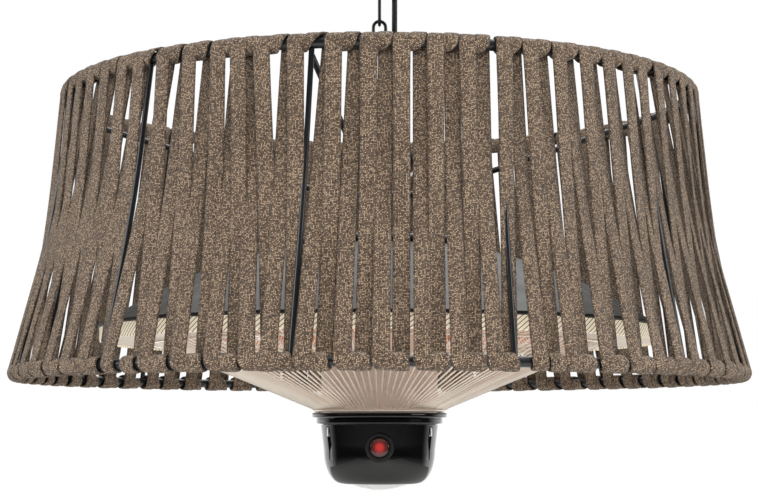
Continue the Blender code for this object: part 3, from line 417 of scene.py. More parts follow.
def coil_glass():
    """Warm glass with a brighter band at each turn of the coil."""
    coat = {"Coat_Weight": 0.6, "Coat_Roughness": 0.05}
    glass = Finish("gold_quartz", Roughness=0.12, Metallic=0.35, Emission_Strength=OWN_GLOW, **coat)
    along, _ = glass.along()
    turn = ((along / COIL_PITCH) * math.tau).apply("SINE")
    coil = glass.spread(turn, 0.1, 0.95)
    colour = glass.blend(coil, srgb(206, 160, 142), srgb(244, 212, 190))
    glow = glass.blend(coil, srgb(150, 84, 66), srgb(255, 206, 174))
    return glass.feed(Base_Color=colour, Emission_Color=glow)


def red_switch(centre_height):
    """A dark red lens with a small lit core."""
    coat = {"Coat_Weight": 0.5, "Coat_Roughness": 0.05}
    red = Finish("red_switch_lens", Roughness=0.14, Emission_Strength=OWN_GLOW, **coat)
    flat = {"Vector": red.place(), "Location": (0.0, 0.0, -centre_height), "Scale": (1.0, 0.0, 1.0)}
    seen_flat = red.node("ShaderNodeMapping", inputs=flat)
    radius = red.node("ShaderNodeVectorMath", {"operation": "LENGTH"}, {0: seen_flat}, "Value")
    core = red.spread(radius, 0.0022, 0.0048, 1.0, 0.0)
    edge = red.spread(radius, 0.0056, 0.0074, 0.0, 1.0)
    ring = red.blend(edge, srgb(104, 44, 44), srgb(30, 16, 17))
    return red.feed(
        Base_Color=red.blend(core, ring, srgb(172, 44, 46)),
        Emission_Color=red.blend(core, srgb(10, 0, 1), srgb(226, 70, 62)),
    )


COIL_GLASS = coil_glass()
RED_SWITCH = red_switch(SHADE_FOOT + BUTTON_HEIGHT)
print("glow:", COIL_GLASS.name, RED_SWITCH.name)

# %% [markdown]
# ## Three ways to make a form
# Nearly everything here is turned on a lathe, drawn through a round die, or rolled from a sheet.
# `lathe` spins a profile, `roll` wraps a grid round a section that travels along stations, and
# `finish_piece` cleans the mesh, lowers it from the shade's foot to the frame and hands it to its
# body.


# %% Modelling helpers
def around(radius, azimuth, height):
    """The point at a radius and height; azimuth runs from the front towards +X."""
    return Vector((radius * math.sin(azimuth), -radius * math.cos(azimuth), height))


def lathe(profile, segments=96, closed=False):
    """Spins (radius, height) points round the Z axis."""
    bm = bmesh.new()
    points = [bm.verts.new((radius, 0.0, height)) for radius, height in profile]
    edges = [bm.edges.new(pair) for pair in zip(points, points[1:])]
    if closed:
        edges.append(bm.edges.new((points[-1], points[0])))
    spun = {"cent": (0, 0, 0), "axis": (0, 0, 1), "angle": math.tau, "steps": segments, "use_merge": True}
    bmesh.ops.spin(bm, geom=points + edges, **spun)
    bmesh.ops.remove_doubles(bm, verts=bm.verts, dist=0.000004)
    return bm


def rounded(profile, radius, steps=3):
    """Rounds the inner corners of a profile with short arcs."""
    made = [profile[0]]
    for before, corner, after in zip(profile, profile[1:], profile[2:]):
        corner, before, after = Vector(corner), Vector(before), Vector(after)
        reach = min(radius, (before - corner).length / 2.2, (after - corner).length / 2.2)
        start = corner + (before - corner).normalized() * reach
        end = corner + (after - corner).normalized() * reach
        for step in range(steps + 1):
            t = step / steps
            made.append(tuple(start * (1 - t) ** 2 + corner * 2 * t * (1 - t) + end * t**2))
    return [*made, profile[-1]]


def roll(stations, section, closed=False):
    """Rolls a grid round a section at each station (centre, across, out), seam welded.

    The map named metres holds the distance along the stations and round the section.
    """
    columns = len(section)
    rows = len(stations) if closed else len(stations) - 1
    bm = bmesh.new()
    uv = bm.loops.layers.uv.new("metres")
    bmesh.ops.create_grid(bm, x_segments=rows, y_segments=columns, size=0.5)
    lengths = [0.0]
    for index in range(rows):
        step = stations[(index + 1) % len(stations)][0] - stations[index][0]
        lengths.append(lengths[-1] + step.length)
    rounds = [0.0]
    for index in range(columns):
        step = Vector(section[(index + 1) % columns]) - Vector(section[index])
        rounds.append(rounds[-1] + step.length)
    for vert in bm.verts:
        row = round((vert.co.x + 0.5) * rows)
        column = round((vert.co.y + 0.5) * columns)
        centre, across, out = stations[row % len(stations)]
        wide, thick = section[column % columns]
        for loop in vert.link_loops:
            loop[uv].uv = (lengths[row], rounds[column])
        vert.co = centre + across * wide + out * thick
    bmesh.ops.remove_doubles(bm, verts=bm.verts, dist=0.000001)
    rims = [edge for edge in bm.edges if edge.is_boundary]
    if rims:
        bmesh.ops.holes_fill(bm, edges=rims, sides=columns)
    return bm


def circle(radius, sides=12):
    """The corners of a round section."""
    angles = [math.tau * k / sides for k in range(sides)]
    return [(radius * math.cos(angle), radius * math.sin(angle)) for angle in angles]


def wire(points, radius, side, sides=12, closed=False):
    """A round rod through points; side is a direction that the line never runs along."""
    stations = []
    last = len(points) - 1
    for index, point in enumerate(points):
        before = points[index - 1] if closed or index else point
        after = points[(index + 1) % len(points)] if closed or index < last else point
        way = (after - before).normalized()
        out = Vector(side)
        across = way.cross(out).normalized()
        stations.append((point, across, across.cross(way)))
    return roll(stations, circle(radius, sides), closed)


def join(first, *others):
    """Adds whole bmeshes to the first one."""
    for other in others:
        mesh = bpy.data.meshes.new("joining")
        other.to_mesh(mesh)
        other.free()
        first.from_mesh(mesh)
        bpy.data.meshes.remove(mesh)
    return first


def finish_piece(name, bm, finish, body, replaced=(), sharp=38, seams=0.000002):
    """Cleans a bmesh, lowers it to the frame, and makes it a piece that rides on its body."""
    bmesh.ops.remove_doubles(bm, verts=bm.verts, dist=seams)
    bmesh.ops.recalc_face_normals(bm, faces=bm.faces)
    bmesh.ops.translate(bm, vec=(0, 0, SHADE_FOOT), verts=bm.verts)
    mesh = bpy.data.meshes.new(name)
    bm.to_mesh(mesh)
    bm.free()
    mesh.shade_smooth()
    mesh.set_sharp_from_angle(angle=math.radians(sharp))
    mesh.materials.append(finish)
    piece = bpy.data.objects.new(name, mesh)
    SCENE.collection.objects.link(piece)
    if body:
        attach(piece, body)
    if replaced:
        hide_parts(*replaced)
    print(f"{name}: {len(mesh.polygons)} faces")
    return piece


def repaint(finish, slot, *nodes):
    """Gives CAD nodes a finish without touching their shape."""
    for node in nodes:
        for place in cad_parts[node].material_slots:
            place.material = finish


# %% [markdown]
# ## Shade frame
# Two hoops of round tube are joined by twelve slim ribs that bend at the waist. The hoops show in
# the notches between the wraps of strap, and the ribs in the wider gap at the edge of each bay. A
# hoop is its round section spun once round. A rib could be two straight rods, but a tube bender
# leaves a soft bend, so it is a wire through points that follow a softened waist.

# %% Hoops and ribs
# A hoop is given by its radius, its height and its tube's radius, the waist by radius and height.
HOOP_TOP = (0.2556, 0.2313, 0.0043)
HOOP_LOW = (0.2943, 0.0059, 0.0038)
WAIST = (0.2699, 0.11995)
WAIST_SOFTENING = 0.045
HOOP_SIDES, HOOP_STEPS = 16, 180
RIB_RADIUS = 0.0021
RIB_GAP = 0.0003
RIB_STEPS = 16
BAYS = 12
BAY = math.radians(30)
FIRST_RIB = math.radians(-10.7)
LEAN = math.radians(-1.1)
LOWER_TILT = math.atan2(HOOP_LOW[0] - WAIST[0], WAIST[1] - HOOP_LOW[1])
UPPER_TILT = math.atan2(WAIST[0] - HOOP_TOP[0], HOOP_TOP[1] - WAIST[1])


def frame_radius(height):
    """Radius of the shade's frame, with the waist softened into a curve."""
    if height > WAIST[1]:
        share = (height - WAIST[1]) / (HOOP_TOP[1] - WAIST[1])
        straight = WAIST[0] + (HOOP_TOP[0] - WAIST[0]) * share
    else:
        share = (height - HOOP_LOW[1]) / (WAIST[1] - HOOP_LOW[1])
        straight = HOOP_LOW[0] + (WAIST[0] - HOOP_LOW[0]) * share
    bend = math.tan(LOWER_TILT) - math.tan(UPPER_TILT)
    near = max(0.0, WAIST_SOFTENING - abs(height - WAIST[1]))
    return straight + bend * near**2 / (4 * WAIST_SOFTENING)


def lean_at(height):
    """How far a rib has turned round the shade at a height, from none at the top."""
    return LEAN * (HOOP_TOP[1] - height) / (HOOP_TOP[1] - HOOP_LOW[1])


for name, (radius, height, tube) in (("shade_top_hoop", HOOP_TOP), ("shade_bottom_hoop", HOOP_LOW)):
    section = [(radius + a, height + b) for a, b in circle(tube, HOOP_SIDES)]
    ring = lathe(section, HOOP_STEPS, closed=True)
    finish_piece(f"{name}_tube", ring, BLACK_ROD, "heater", [name])

ribs = bmesh.new()
rib_low = HOOP_LOW[1] + HOOP_LOW[2] + RIB_GAP
rib_top = HOOP_TOP[1] - HOOP_TOP[2] - RIB_GAP
heights = [rib_low + (rib_top - rib_low) * step / RIB_STEPS for step in range(RIB_STEPS + 1)]
for index in range(BAYS):
    azimuth = FIRST_RIB + index * BAY
    points = [around(frame_radius(h), azimuth + lean_at(h), h) for h in heights]
    side = (math.cos(azimuth), math.sin(azimuth), 0)
    join(ribs, wire(points, RIB_RADIUS, side))
rib_nodes = [f"rib_{index:02d}" for index in range(1, BAYS + 1)]
finish_piece("shade_ribs", ribs, BLACK_ROD, "heater", rib_nodes)
repaint(BLACK_ROD, "black_steel", "shade_spider", "stem")

# %% [markdown]
# ## Winding the strap
# Each bay between two ribs is wound with one unbroken strap. A rising leg leaves the inside of the
# lower hoop and reaches the outside of the upper one. There the strap goes one and a half times
# round the hoop, and the falling leg runs from its inside down to the outside of the lower hoop,
# for another turn and a half. So the legs cross a little below half height, and each full turn
# shows as a short wrap beside a leg. Separate loops would be quicker to place, but they would meet
# nowhere, and a wrap would not lead into its leg. So the route is worked out station by station,
# and a soft flat section is rolled along it.

# %% Strap sizes
STRAP_WIDTH = 0.0122
STRAP_THICKNESS = 0.0022
WRAP_GAP = 0.0003
# How far the second layer of a wrap lies off the first.
LIFT = 0.0010
CELLS = 6
TURN_STEPS, LEG_STEPS, SECTION_SIDES = 8, 15, 16
# Shares of the height: where a leg passes between the hoops, and where it lies flat outside.
CROSSING, LAY_FLAT = 0.42, 0.98
# What a leg does most at half height: twist like a louvre, bow aside, and both a little unevenly.
LOUVRE, UNEVEN_TWIST = math.radians(8), math.radians(4)
BOW, UNEVEN_BOW = 0.005, math.radians(0.1)
# How much a leg widens as it nears the outside of a hoop, and over which share of its height.
FLARE, FLARE_SHARE = 0.06, 0.12
# The straps wander a little, by steps of two angles that never come round again.
WANDER = math.radians(0.18)
GOLDEN_STEP, OTHER_STEP = 2.39983, 1.69297
print(f"strap {STRAP_WIDTH * 1000:.1f} by {STRAP_THICKNESS * 1000:.1f} mm, {BAYS * CELLS} loops")

# %% Where the legs stand along the hoops
# Shares of the bay, one for each cell. First the tops of the rising legs, then how far on the tops
# of the falling legs are, then the feet of both. The three front bays have their own places.
USUAL_TOPS = (0.130, 0.298, 0.464, 0.630, 0.797, 0.945)
USUAL_FALLS = (0.108, 0.106, 0.108, 0.112, 0.108, 0.138)
USUAL_LOWS = (
    (0.107, 0.280, 0.453, 0.619, 0.782, 0.920),
    (0.193, 0.368, 0.537, 0.703, 0.855, 1.022),
)
MEASURED_TOPS = {
    0: (0.120, 0.298, 0.470, 0.647, 0.811, 1.012),
    1: (0.165, 0.342, 0.511, 0.675, 0.833, 0.962),
    11: (0.131, 0.306, 0.484, 0.604, 0.737, 0.919),
}
MEASURED_FALLS = {
    0: (0.108, 0.106, 0.108, 0.106, 0.112, 0.094),
    1: (0.118, 0.112, 0.119, 0.122, 0.118, 0.130),
    11: (0.093, 0.075, 0.076, 0.055, 0.121, 0.171),
}
MEASURED_LOWS = {
    0: ((0.107, 0.280, 0.453, 0.619, 0.782, 0.950), (0.193, 0.368, 0.537, 0.703, 0.866, 1.066)),
    1: ((0.174, 0.328, 0.501, 0.665, 0.826, 0.945), (0.241, 0.416, 0.585, 0.749, 0.884, 1.022)),
    11: ((0.165, 0.345, 0.522, 0.690, 0.860, 0.960), (0.262, 0.440, 0.606, 0.780, 0.868, 1.022)),
}
# In three bays at the sides the falling legs stand a little nearer or further.
HELD_BACK = {9: -0.012, 10: -0.012, 2: 0.012}
# How far a full turn moves along its hoop, and the strap's width where it starts, behind the hoop
# and in the short wrap. The second row of each is for the tight last cell of a bay.
LOW_SHIFT, TOP_SHIFT = (0.079, 0.072), (0.080, 0.062)
LOW_WIDTHS = ((1.06, 0.9, 1.06), (1.06, 0.9, 0.88))
TOP_WIDTHS = ((1.04, 0.8, 0.9), (1.04, 0.8, 0.74))
TOP_TUCK = (0, 0.018)
SHORT_LIFT = 0.15
END_TUCK = 0.02
print("bay", round(math.degrees(BAY)), "degrees, front places for bays", sorted(MEASURED_TOPS))

# %% [markdown]
# A full turn is a list of keys on the way round the hoop. Between two keys the strap's place, width
# and lift change evenly. A leg is worked out from its share of the height instead, because it has
# to follow the bend at the waist. Both add stations to the same route.


# %% Strap route
def wobble(kind, turn):
    """A small repeatable unevenness, from -1 to 1."""
    return math.sin(kind * 1.7 + turn * (GOLDEN_STEP if kind % 2 else OTHER_STEP))


def wrap(route, hoop, facing, start, turns, path):
    """Winds round a hoop. path holds (share of the wrap, azimuth, width, lift) in order."""
    radius, height, tube = hoop
    reach = tube + WRAP_GAP + STRAP_THICKNESS / 2
    steps = round(TURN_STEPS * 2 * abs(turns))
    for step in range(steps + 1):
        share = step / steps
        for before, after in zip(path, path[1:]):
            if before[0] <= share <= after[0]:
                t = (share - before[0]) / (after[0] - before[0])
                azimuth, width, lift = (a + (b - a) * t for a, b in zip(before[1:], after[1:]))
        angle = start + math.tau * turns * share
        out = reach + lift * LIFT
        place = (radius + out * math.cos(angle), height + out * math.sin(angle))
        route.append((*place, azimuth, angle + facing, width, 0.0))


def side_at(share):
    """-1 inside, 1 outside: where a rising leg runs at a share of the height."""
    if share < CROSSING:
        return share / CROSSING - 1
    return min(1.0, (share - CROSSING) / (LAY_FLAT - CROSSING))


def leg(route, rising, low, top, turn):
    """A leg between the hoops: rising from inside to outside, or falling the other way round."""
    way = 1 if rising else -1
    for step in range(1, LEG_STEPS):
        share = step / LEG_STEPS if rising else 1 - step / LEG_STEPS
        tube = HOOP_LOW[2] + (HOOP_TOP[2] - HOOP_LOW[2]) * share
        lifted = LIFT * (1 - share) ** 3 if rising else LIFT * share**3
        reach = way * side_at(share) * (tube + WRAP_GAP + STRAP_THICKNESS / 2 + lifted)
        height = HOOP_LOW[1] + (HOOP_TOP[1] - HOOP_LOW[1]) * share
        bend = min(1.0, max(0.0, (height - WAIST[1]) / (2 * WAIST_SOFTENING) + 0.5))
        tilt = LOWER_TILT + (UPPER_TILT - LOWER_TILT) * bend
        height += reach * math.sin(tilt)
        arch = math.sin(math.pi * share)
        bow = way * BOW * BAY * arch
        azimuth = low + (top - low) * share + bow + arch * wobble(5, turn) * UNEVEN_BOW
        turned = way * arch * LOUVRE + arch * wobble(6, turn) * UNEVEN_TWIST
        to_hoop = 1 - share if rising else share
        width = 1 + FLARE * max(0.0, 1 - to_hoop / FLARE_SHARE)
        facing = tilt + math.pi if rising else tilt
        route.append((frame_radius(height) + reach, height, azimuth, facing, width, turned))


def strap_route(bay):
    """(radius, height, azimuth, facing, width, roll) along one bay's strap."""
    route = []
    first = bay * CELLS
    wander = [WANDER * math.sin(GOLDEN_STEP * (first + k)) for k in range(CELLS + 1)]
    tops = MEASURED_TOPS.get(bay, USUAL_TOPS)
    falls = MEASURED_FALLS.get(bay, USUAL_FALLS)
    rising_low, falling_low = MEASURED_LOWS.get(bay, USUAL_LOWS)
    for cell in range(CELLS):
        turn = first + cell
        last = cell == CELLS - 1
        drift = WANDER / 2 * math.sin(OTHER_STEP * turn)
        low = rising_low[cell] * BAY + drift
        top = tops[cell] * BAY + drift
        uneven = 0 if last else HELD_BACK.get(bay, 0)
        fallen_top = (tops[cell] + falls[cell] + uneven) * BAY + wander[cell + 1]
        fallen_low = falling_low[cell] * BAY + wander[cell + 1]
        if cell == 0:
            path = [(0, low - END_TUCK * BAY, 0.9, 0)]
            path += [(1 / 3, low - 0.012 * BAY, 1.04, 0), (1, low, 1, 1)]
            wrap(route, HOOP_LOW, 0, LOWER_TILT - 1.5 * math.pi, -0.75, path)
        else:
            came = falling_low[cell - 1] * BAY + wander[cell]
            short = came + LOW_SHIFT[last] * BAY
            starting, behind, wide = LOW_WIDTHS[last]
            path = [(0, came, starting, 0), (1 / 3, (came + short) / 2, behind, 0)]
            path += [(2 / 3, short, wide, SHORT_LIFT), (1, low, 1, 1)]
            wrap(route, HOOP_LOW, 0, LOWER_TILT, -1.5, path)
        leg(route, True, low, top, turn * 2)
        short = top + TOP_SHIFT[last] * BAY
        under = (top + short) / 2 - TOP_TUCK[last] * BAY
        starting, behind, wide = TOP_WIDTHS[last]
        path = [(0, top, starting, 0), (1 / 2, under, behind, 0)]
        path += [(2 / 3, short, wide, SHORT_LIFT), (1, fallen_top, 1, 1)]
        wrap(route, HOOP_TOP, math.pi, UPPER_TILT, 1.5, path)
        leg(route, False, fallen_low, fallen_top, turn * 2 + 1)
    path = [(0, fallen_low, 1.06, 0), (1, fallen_low + END_TUCK * BAY, 0.9, 0)]
    wrap(route, HOOP_LOW, 0, LOWER_TILT, -0.6, path)
    return route


def strap_stations(bay):
    """The strap's centre, its way across and its way out at each place on its route."""
    stations = []
    route = strap_route(bay)
    centres = [around(r, FIRST_RIB + bay * BAY + azimuth, h) for r, h, azimuth, *_ in route]
    for index, (radius, height, azimuth, angle, width, turned) in enumerate(route):
        facing = FIRST_RIB + bay * BAY + azimuth
        before = centres[max(0, index - 1)]
        after = centres[min(len(centres) - 1, index + 1)]
        way = (after - before).normalized()
        out = around(math.cos(angle), facing, math.sin(angle))
        across = way.cross(out).normalized()
        out = across.cross(way)
        spin = Matrix.Rotation(turned, 3, way)
        stations.append((centres[index], spin @ across * width, spin @ out))
    return stations


def strap_section():
    """A flattened tube: gently crowned faces and rolled edges."""
    points = []
    edges, faces = 0.6, 0.85
    for step in range(SECTION_SIDES):
        angle = math.tau * step / SECTION_SIDES
        c, s = math.cos(angle), math.sin(angle)
        wide = math.copysign(abs(c) ** edges, c) * STRAP_WIDTH / 2
        thick = math.copysign(abs(s) ** faces, s) * STRAP_THICKNESS / 2
        points.append((wide, thick))
    return points


for bay in range(BAYS):
    strap = roll(strap_stations(bay), strap_section())
    node = f"strap_bay_{bay + 1:02d}"
    finish_piece(f"wound_{node}", strap, STRAP_CLOTH, "heater", [node], sharp=75)

# %% [markdown]
# ## Heater head from above
# A shallow spun dome carries a round junction cap. Its edge is a bright band, with a dark seal
# between the two. A flattened sphere would give the dome but not its thin open edge, and the real
# ones are spun from sheet. So all are lathe work: a profile of a few points, rounded, and spun.

# %% Dome, rim and cap
def span(node):
    """A CAD node's lowest and highest point, counted from the shade's foot."""
    low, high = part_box(node)
    return low[2] - SHADE_FOOT, high[2] - SHADE_FOOT


RIM_RADIUS = 0.2275
RIM_TOP = span("rim_band")[1] + 0.0018
DOME_RISE = 0.0725
DOME_WALL = 0.0012
DOME_HOLE = 0.0822
DOME_INSET = 0.0002
DOME_RADIUS = (RIM_RADIUS**2 + DOME_RISE**2) / (2 * DOME_RISE)
DOME_CENTRE = RIM_TOP + DOME_RISE - DOME_RADIUS
BAND_INNER, BAND_OUTER = 0.22675, 0.22825
SEAL_INNER, SEAL_OUTER, SEAL_INSET = 0.2278, 0.23035, 0.0002
print(f"rim top {RIM_TOP:.4f}, dome radius {DOME_RADIUS:.4f}")


def dome_profile(radius, first, last, steps=24):
    """An arc of the dome between two distances from its axis."""
    start, end = math.asin(first / radius), math.asin(last / radius)
    angles = [start + (end - start) * k / steps for k in range(steps + 1)]
    return [(radius * math.sin(a), DOME_CENTRE + radius * math.cos(a)) for a in angles]


skin = dome_profile(DOME_RADIUS, DOME_HOLE, RIM_RADIUS - DOME_INSET)
lining = dome_profile(DOME_RADIUS - DOME_WALL, DOME_HOLE, RIM_RADIUS - 2 * DOME_INSET)
dome = lathe(skin + lining[::-1], 128, closed=True)
finish_piece("dome_skin", dome, DOME_GREY, "heater", ["dome_shell"])
low, high = span("rim_band")
band = [(BAND_INNER, high), (BAND_OUTER, high), (BAND_OUTER, low + 0.0014)]
band += [(0.2277, low), (BAND_INNER, low)]
band = lathe(band, 160, closed=True)
finish_piece("rim_band_ring", band, RIM_PAINTED_REFLECTIONS, "heater", ["rim_band"])
low, high = span("rim_seal")
low, high = low + SEAL_INSET, high - SEAL_INSET
seal = rounded([(SEAL_INNER, high), (SEAL_OUTER, high), (SEAL_OUTER, low), (SEAL_INNER, low)], 0.0006)
seal = lathe(seal, 160, closed=True)
finish_piece("rim_seal_ring", seal, SOFT_BLACK, "heater", ["rim_seal"])
low, high = span("top_cap")
cap = [(0, high), (0.0772, high), (0.0798, high - 0.0029), (0.0799, low + 0.0002), (0, low + 0.0002)]
cap = lathe(rounded(cap, 0.0024), 96)
finish_piece("junction_cap", cap, BLACK_ROD, "heater", ["top_cap"])

# %% [markdown]
# ## Dish, lamps and centre tube
# Under the dome a polished dish throws the heat down. Two ring lamps end in one ceramic holder at
# the back, and a bright tube in the middle carries the control housing. Below the dish a polished
# sleeve surrounds that tube, about as wide as the housing. The dish and the sleeve are spun from
# profiles, as real ones are. A lamp could be a torus, but it would miss the open end at the holder,
# so it is a wire bent round a ring with two short straight stubs.

# %% Dish
DISH_HOLE, DISH_EDGE, DISH_WALL = 0.0173, 0.22645, 0.0010
low, high = span("reflector")
dish = [(DISH_HOLE, high), (0.120, high), (0.178, high - 0.0005), (0.190, high - 0.0028)]
dish += [(0.2215, low + 0.0032), (DISH_EDGE, low + DISH_WALL), (DISH_EDGE, low), (0.2210, low + 0.0021)]
dish += [(0.1895, high - 0.0040), (0.1776, high - 0.0016)]
dish += [(0.120, high - DISH_WALL), (DISH_HOLE, high - DISH_WALL)]
dish = lathe(dish, 128, closed=True)
finish_piece("polished_dish", dish, DISH, "heater", ["reflector"], 30)

# %% Lamps, holder and sleeve
LAMP_HEIGHT = sum(span("lamp_outer")) / 2
LAMP_TUBE = 0.0055
LAMP_STEPS = 96
HOLDER_SIDE = 0.023
HOLDER_GAP = 0.0003
TUBE_BORE, TUBE_SIDE, SLEEVE_SIDE = 0.0155, 0.0170, 0.0477


def ring_lamp(name, radius):
    """A ring of glass tube whose two ends turn into the sides of the ceramic holder."""
    stub = HOLDER_SIDE + HOLDER_GAP
    missing = math.asin((stub + LAMP_TUBE) / radius)
    points = []
    for step in range(LAMP_STEPS + 1):
        azimuth = math.pi + missing + step / LAMP_STEPS * (math.tau - 2 * missing)
        points.append(around(radius, azimuth, LAMP_HEIGHT))
    points.insert(0, Vector((-stub, points[0].y, LAMP_HEIGHT)))
    points.append(Vector((stub, points[-1].y, LAMP_HEIGHT)))
    tube = wire(points, LAMP_TUBE, (0, 0, 1), 14)
    finish_piece(f"{name}_tube", tube, COIL_GLASS, "heater", [name], 60)


ring_lamp("lamp_outer", 0.15015)
ring_lamp("lamp_inner", 0.104651)
repaint(CERAMIC, "ceramic", "lamp_holder")
low, high = span("centre_tube")
under = span("reflector")[1] - 0.0013
sleeve = [(TUBE_BORE, high), (TUBE_SIDE, high), (TUBE_SIDE, under), (0.0470, under)]
sleeve += [(SLEEVE_SIDE, under - 0.0007), (SLEEVE_SIDE, low), (TUBE_BORE, low)]
sleeve = lathe(sleeve, 96, closed=True)
finish_piece("centre_sleeve", sleeve, WARM_SLEEVE, "heater", ["centre_tube"])

# %% [markdown]
# ## Wire guard
# The guard is a cone of fine radial wires that are welded to rings at the rim, the shoulder and the
# housing. Wires painted on a cone would not let the light through. So one wire is drawn through
# its bends, and `spin` repeats it all the way round.

# %% Guard
GUARD_WIRES = 132
GUARD_WIRE = 0.0008
guard_top = span("wire_guard")[1]
# Each ring's radius, height and wire.
GUARD_RINGS = (
    (0.2240, guard_top - 0.0008, 0.0009),
    (0.1862, 0.0304, 0.0009),
    (0.0533, -0.0234, 0.0013),
)
bends = [(0.2252, guard_top - 0.0008), (0.2050, guard_top - 0.0012), (0.1868, guard_top - 0.0024)]
bends += [(0.1800, 0.0296), (0.1100, 0.0014), (0.0560, -0.0208), (0.0535, -0.0225)]
points = [around(radius, math.pi / GUARD_WIRES, height) for radius, height in bends]
guard = wire(points, GUARD_WIRE, (1, 0, 0), 6)
bmesh.ops.spin(
    guard,
    geom=guard.verts[:] + guard.edges[:] + guard.faces[:],
    cent=(0, 0, 0),
    axis=(0, 0, 1),
    angle=math.tau * (GUARD_WIRES - 1) / GUARD_WIRES,
    steps=GUARD_WIRES - 1,
    use_duplicate=True,
)
for ring_radius, ring_height, ring_wire in GUARD_RINGS:
    section = [(ring_radius + a, ring_height + b) for a, b in circle(ring_wire, 8)]
    join(guard, lathe(section, GUARD_WIRES, closed=True))
finish_piece("guard_wires", guard, CHROME, "heater", ["wire_guard"], 60)

# %% [markdown]
# ## Control housing
# A glossy black shell hangs under the guard: a flange, a step and a tapering body with a rounded
# foot. Three narrow grooves hold bright clips, and a round pocket at the front takes the switch.
# The lathe gives the body. Grooves could be pushed into its faces by hand, but a cutter can be
# placed to a tenth of a millimetre. So Booleans cut the grooves and pockets, and are applied at
# once.

# %% Cutting tools
BODY_TOP = -0.0295
BODY_DEPTH = 0.0533
# The body tapers over the first depth and turns in over the second.
TAPER_DEPTH, FOOT_DEPTH = 0.026, 0.0273


def body_radius(depth):
    """The shell's radius at a depth below its top: a slight taper, then a quarter of an oval."""
    if depth < TAPER_DEPTH:
        return 0.049 - 0.0032 * depth / TAPER_DEPTH
    share = min(1.0, (depth - TAPER_DEPTH) / FOOT_DEPTH)
    return 0.0458 - 0.0148 * (1 - math.sqrt(max(0.0, 1 - share**2)))


def cut_away(bm, cutters):
    """Booleans the cutters out of a bmesh and returns the result."""
    made = []
    for index, part in enumerate([bm, *cutters]):
        bmesh.ops.recalc_face_normals(part, faces=part.faces)
        mesh = bpy.data.meshes.new(f"cutting_{index}")
        part.to_mesh(mesh)
        part.free()
        made.append(bpy.data.objects.new(f"cutting_{index}", mesh))
        SCENE.collection.objects.link(made[-1])
    for cutter in made[1:]:
        boolean = made[0].modifiers.new(cutter.name, "BOOLEAN")
        boolean.operation = "DIFFERENCE"
        boolean.solver = "EXACT"
        boolean.object = cutter
    bpy.context.view_layer.update()
    result = bpy.data.meshes.new_from_object(made[0].evaluated_get(bpy.context.evaluated_depsgraph_get()))
    carved = bmesh.new()
    carved.from_mesh(result)
    for item in made:
        mesh = item.data
        bpy.data.objects.remove(item)
        bpy.data.meshes.remove(mesh)
    return carved


def block(size, centre, turn, bevel):
    """A box with softened edges, turned round the heater's axis."""
    bm = bmesh.new()
    bmesh.ops.create_cube(bm, size=1.0)
    bmesh.ops.scale(bm, vec=size, verts=bm.verts)
    soft = {"offset": bevel, "segments": 2, "profile": 0.5, "affect": "EDGES", "material": -1}
    bmesh.ops.bevel(bm, geom=bm.edges[:], **soft)
    bmesh.ops.translate(bm, vec=centre, verts=bm.verts)
    bmesh.ops.rotate(bm, cent=(0, 0, 0), matrix=Matrix.Rotation(turn, 3, "Z"), verts=bm.verts)
    return bm


def plug(radius, low, high, sides):
    """A plain round plug that cuts a pocket."""
    return lathe([(0, high), (radius, high), (radius, low), (0, low)], sides)


def face_front(bm, front):
    """Turns a lathe piece to face the front, with its height 0 at y = front."""
    bmesh.ops.rotate(bm, cent=(0, 0, 0), matrix=Matrix.Rotation(math.pi / 2, 3, "X"), verts=bm.verts)
    bmesh.ops.translate(bm, vec=(0, front, BUTTON_HEIGHT), verts=bm.verts)
    return bm


# %% Housing
FLANGE_RADIUS, FLANGE_TOP, FLANGE_FOOT = 0.0555, -0.0252, -0.0292
GROOVES = (-math.pi / 3, math.pi / 3, math.pi)
GROOVE_SIZE, CLIP_SIZE = (0.0055, 0.005, 0.032), (0.0034, 0.003, 0.008)
GROOVE_TOP = BODY_TOP - 0.0065
flange = [(0, FLANGE_TOP), (FLANGE_RADIUS, FLANGE_TOP), (FLANGE_RADIUS, FLANGE_FOOT), (0, FLANGE_FOOT)]
flange = lathe(rounded(flange, 0.0012), 128)
finish_piece("housing_flange", flange, GLOSS_BLACK, "heater", ["housing_cover"])
depths = [0.0055, *(TAPER_DEPTH * k / 6 for k in range(2, 7))]
depths += [TAPER_DEPTH + FOOT_DEPTH * math.sin(k / 12 * math.pi / 2) for k in range(1, 13)]
body = [(0, BODY_TOP), (0.0512, BODY_TOP), (0.0520, BODY_TOP - 0.0008), (0.0520, BODY_TOP - 0.0038)]
body += [(0.0514, BODY_TOP - 0.0045), (0.0496, BODY_TOP - 0.0047)]
body += [(body_radius(depth), BODY_TOP - depth) for depth in depths] + [(0, BODY_TOP - BODY_DEPTH)]
groove_middle = (0, -0.0475, GROOVE_TOP - 0.016)
cutters = [block(GROOVE_SIZE, groove_middle, turn, 0.0012) for turn in GROOVES]
cutters.append(face_front(plug(0.0118, -0.0065, 0.02, 48), -0.0465))
cutters.append(face_front(plug(0.0083, -0.0135, 0.02, 48), -0.0480))
cutters.append(plug(0.0248, BODY_TOP - 0.06, BODY_TOP - 0.048, 64))
shell = cut_away(lathe(body, 128), cutters)
finish_piece("housing_shell", shell, GLOSS_BLACK, "heater", ["control_housing"], 32)
for index, turn in enumerate(GROOVES):
    clip = block(CLIP_SIZE, (0, -0.0468, GROOVE_TOP - 0.0043), turn, 0.0006)
    node = f"housing_clip_{index + 1}"
    finish_piece(f"spring_clip_{index + 1}", clip, NICKEL, "heater", [node])

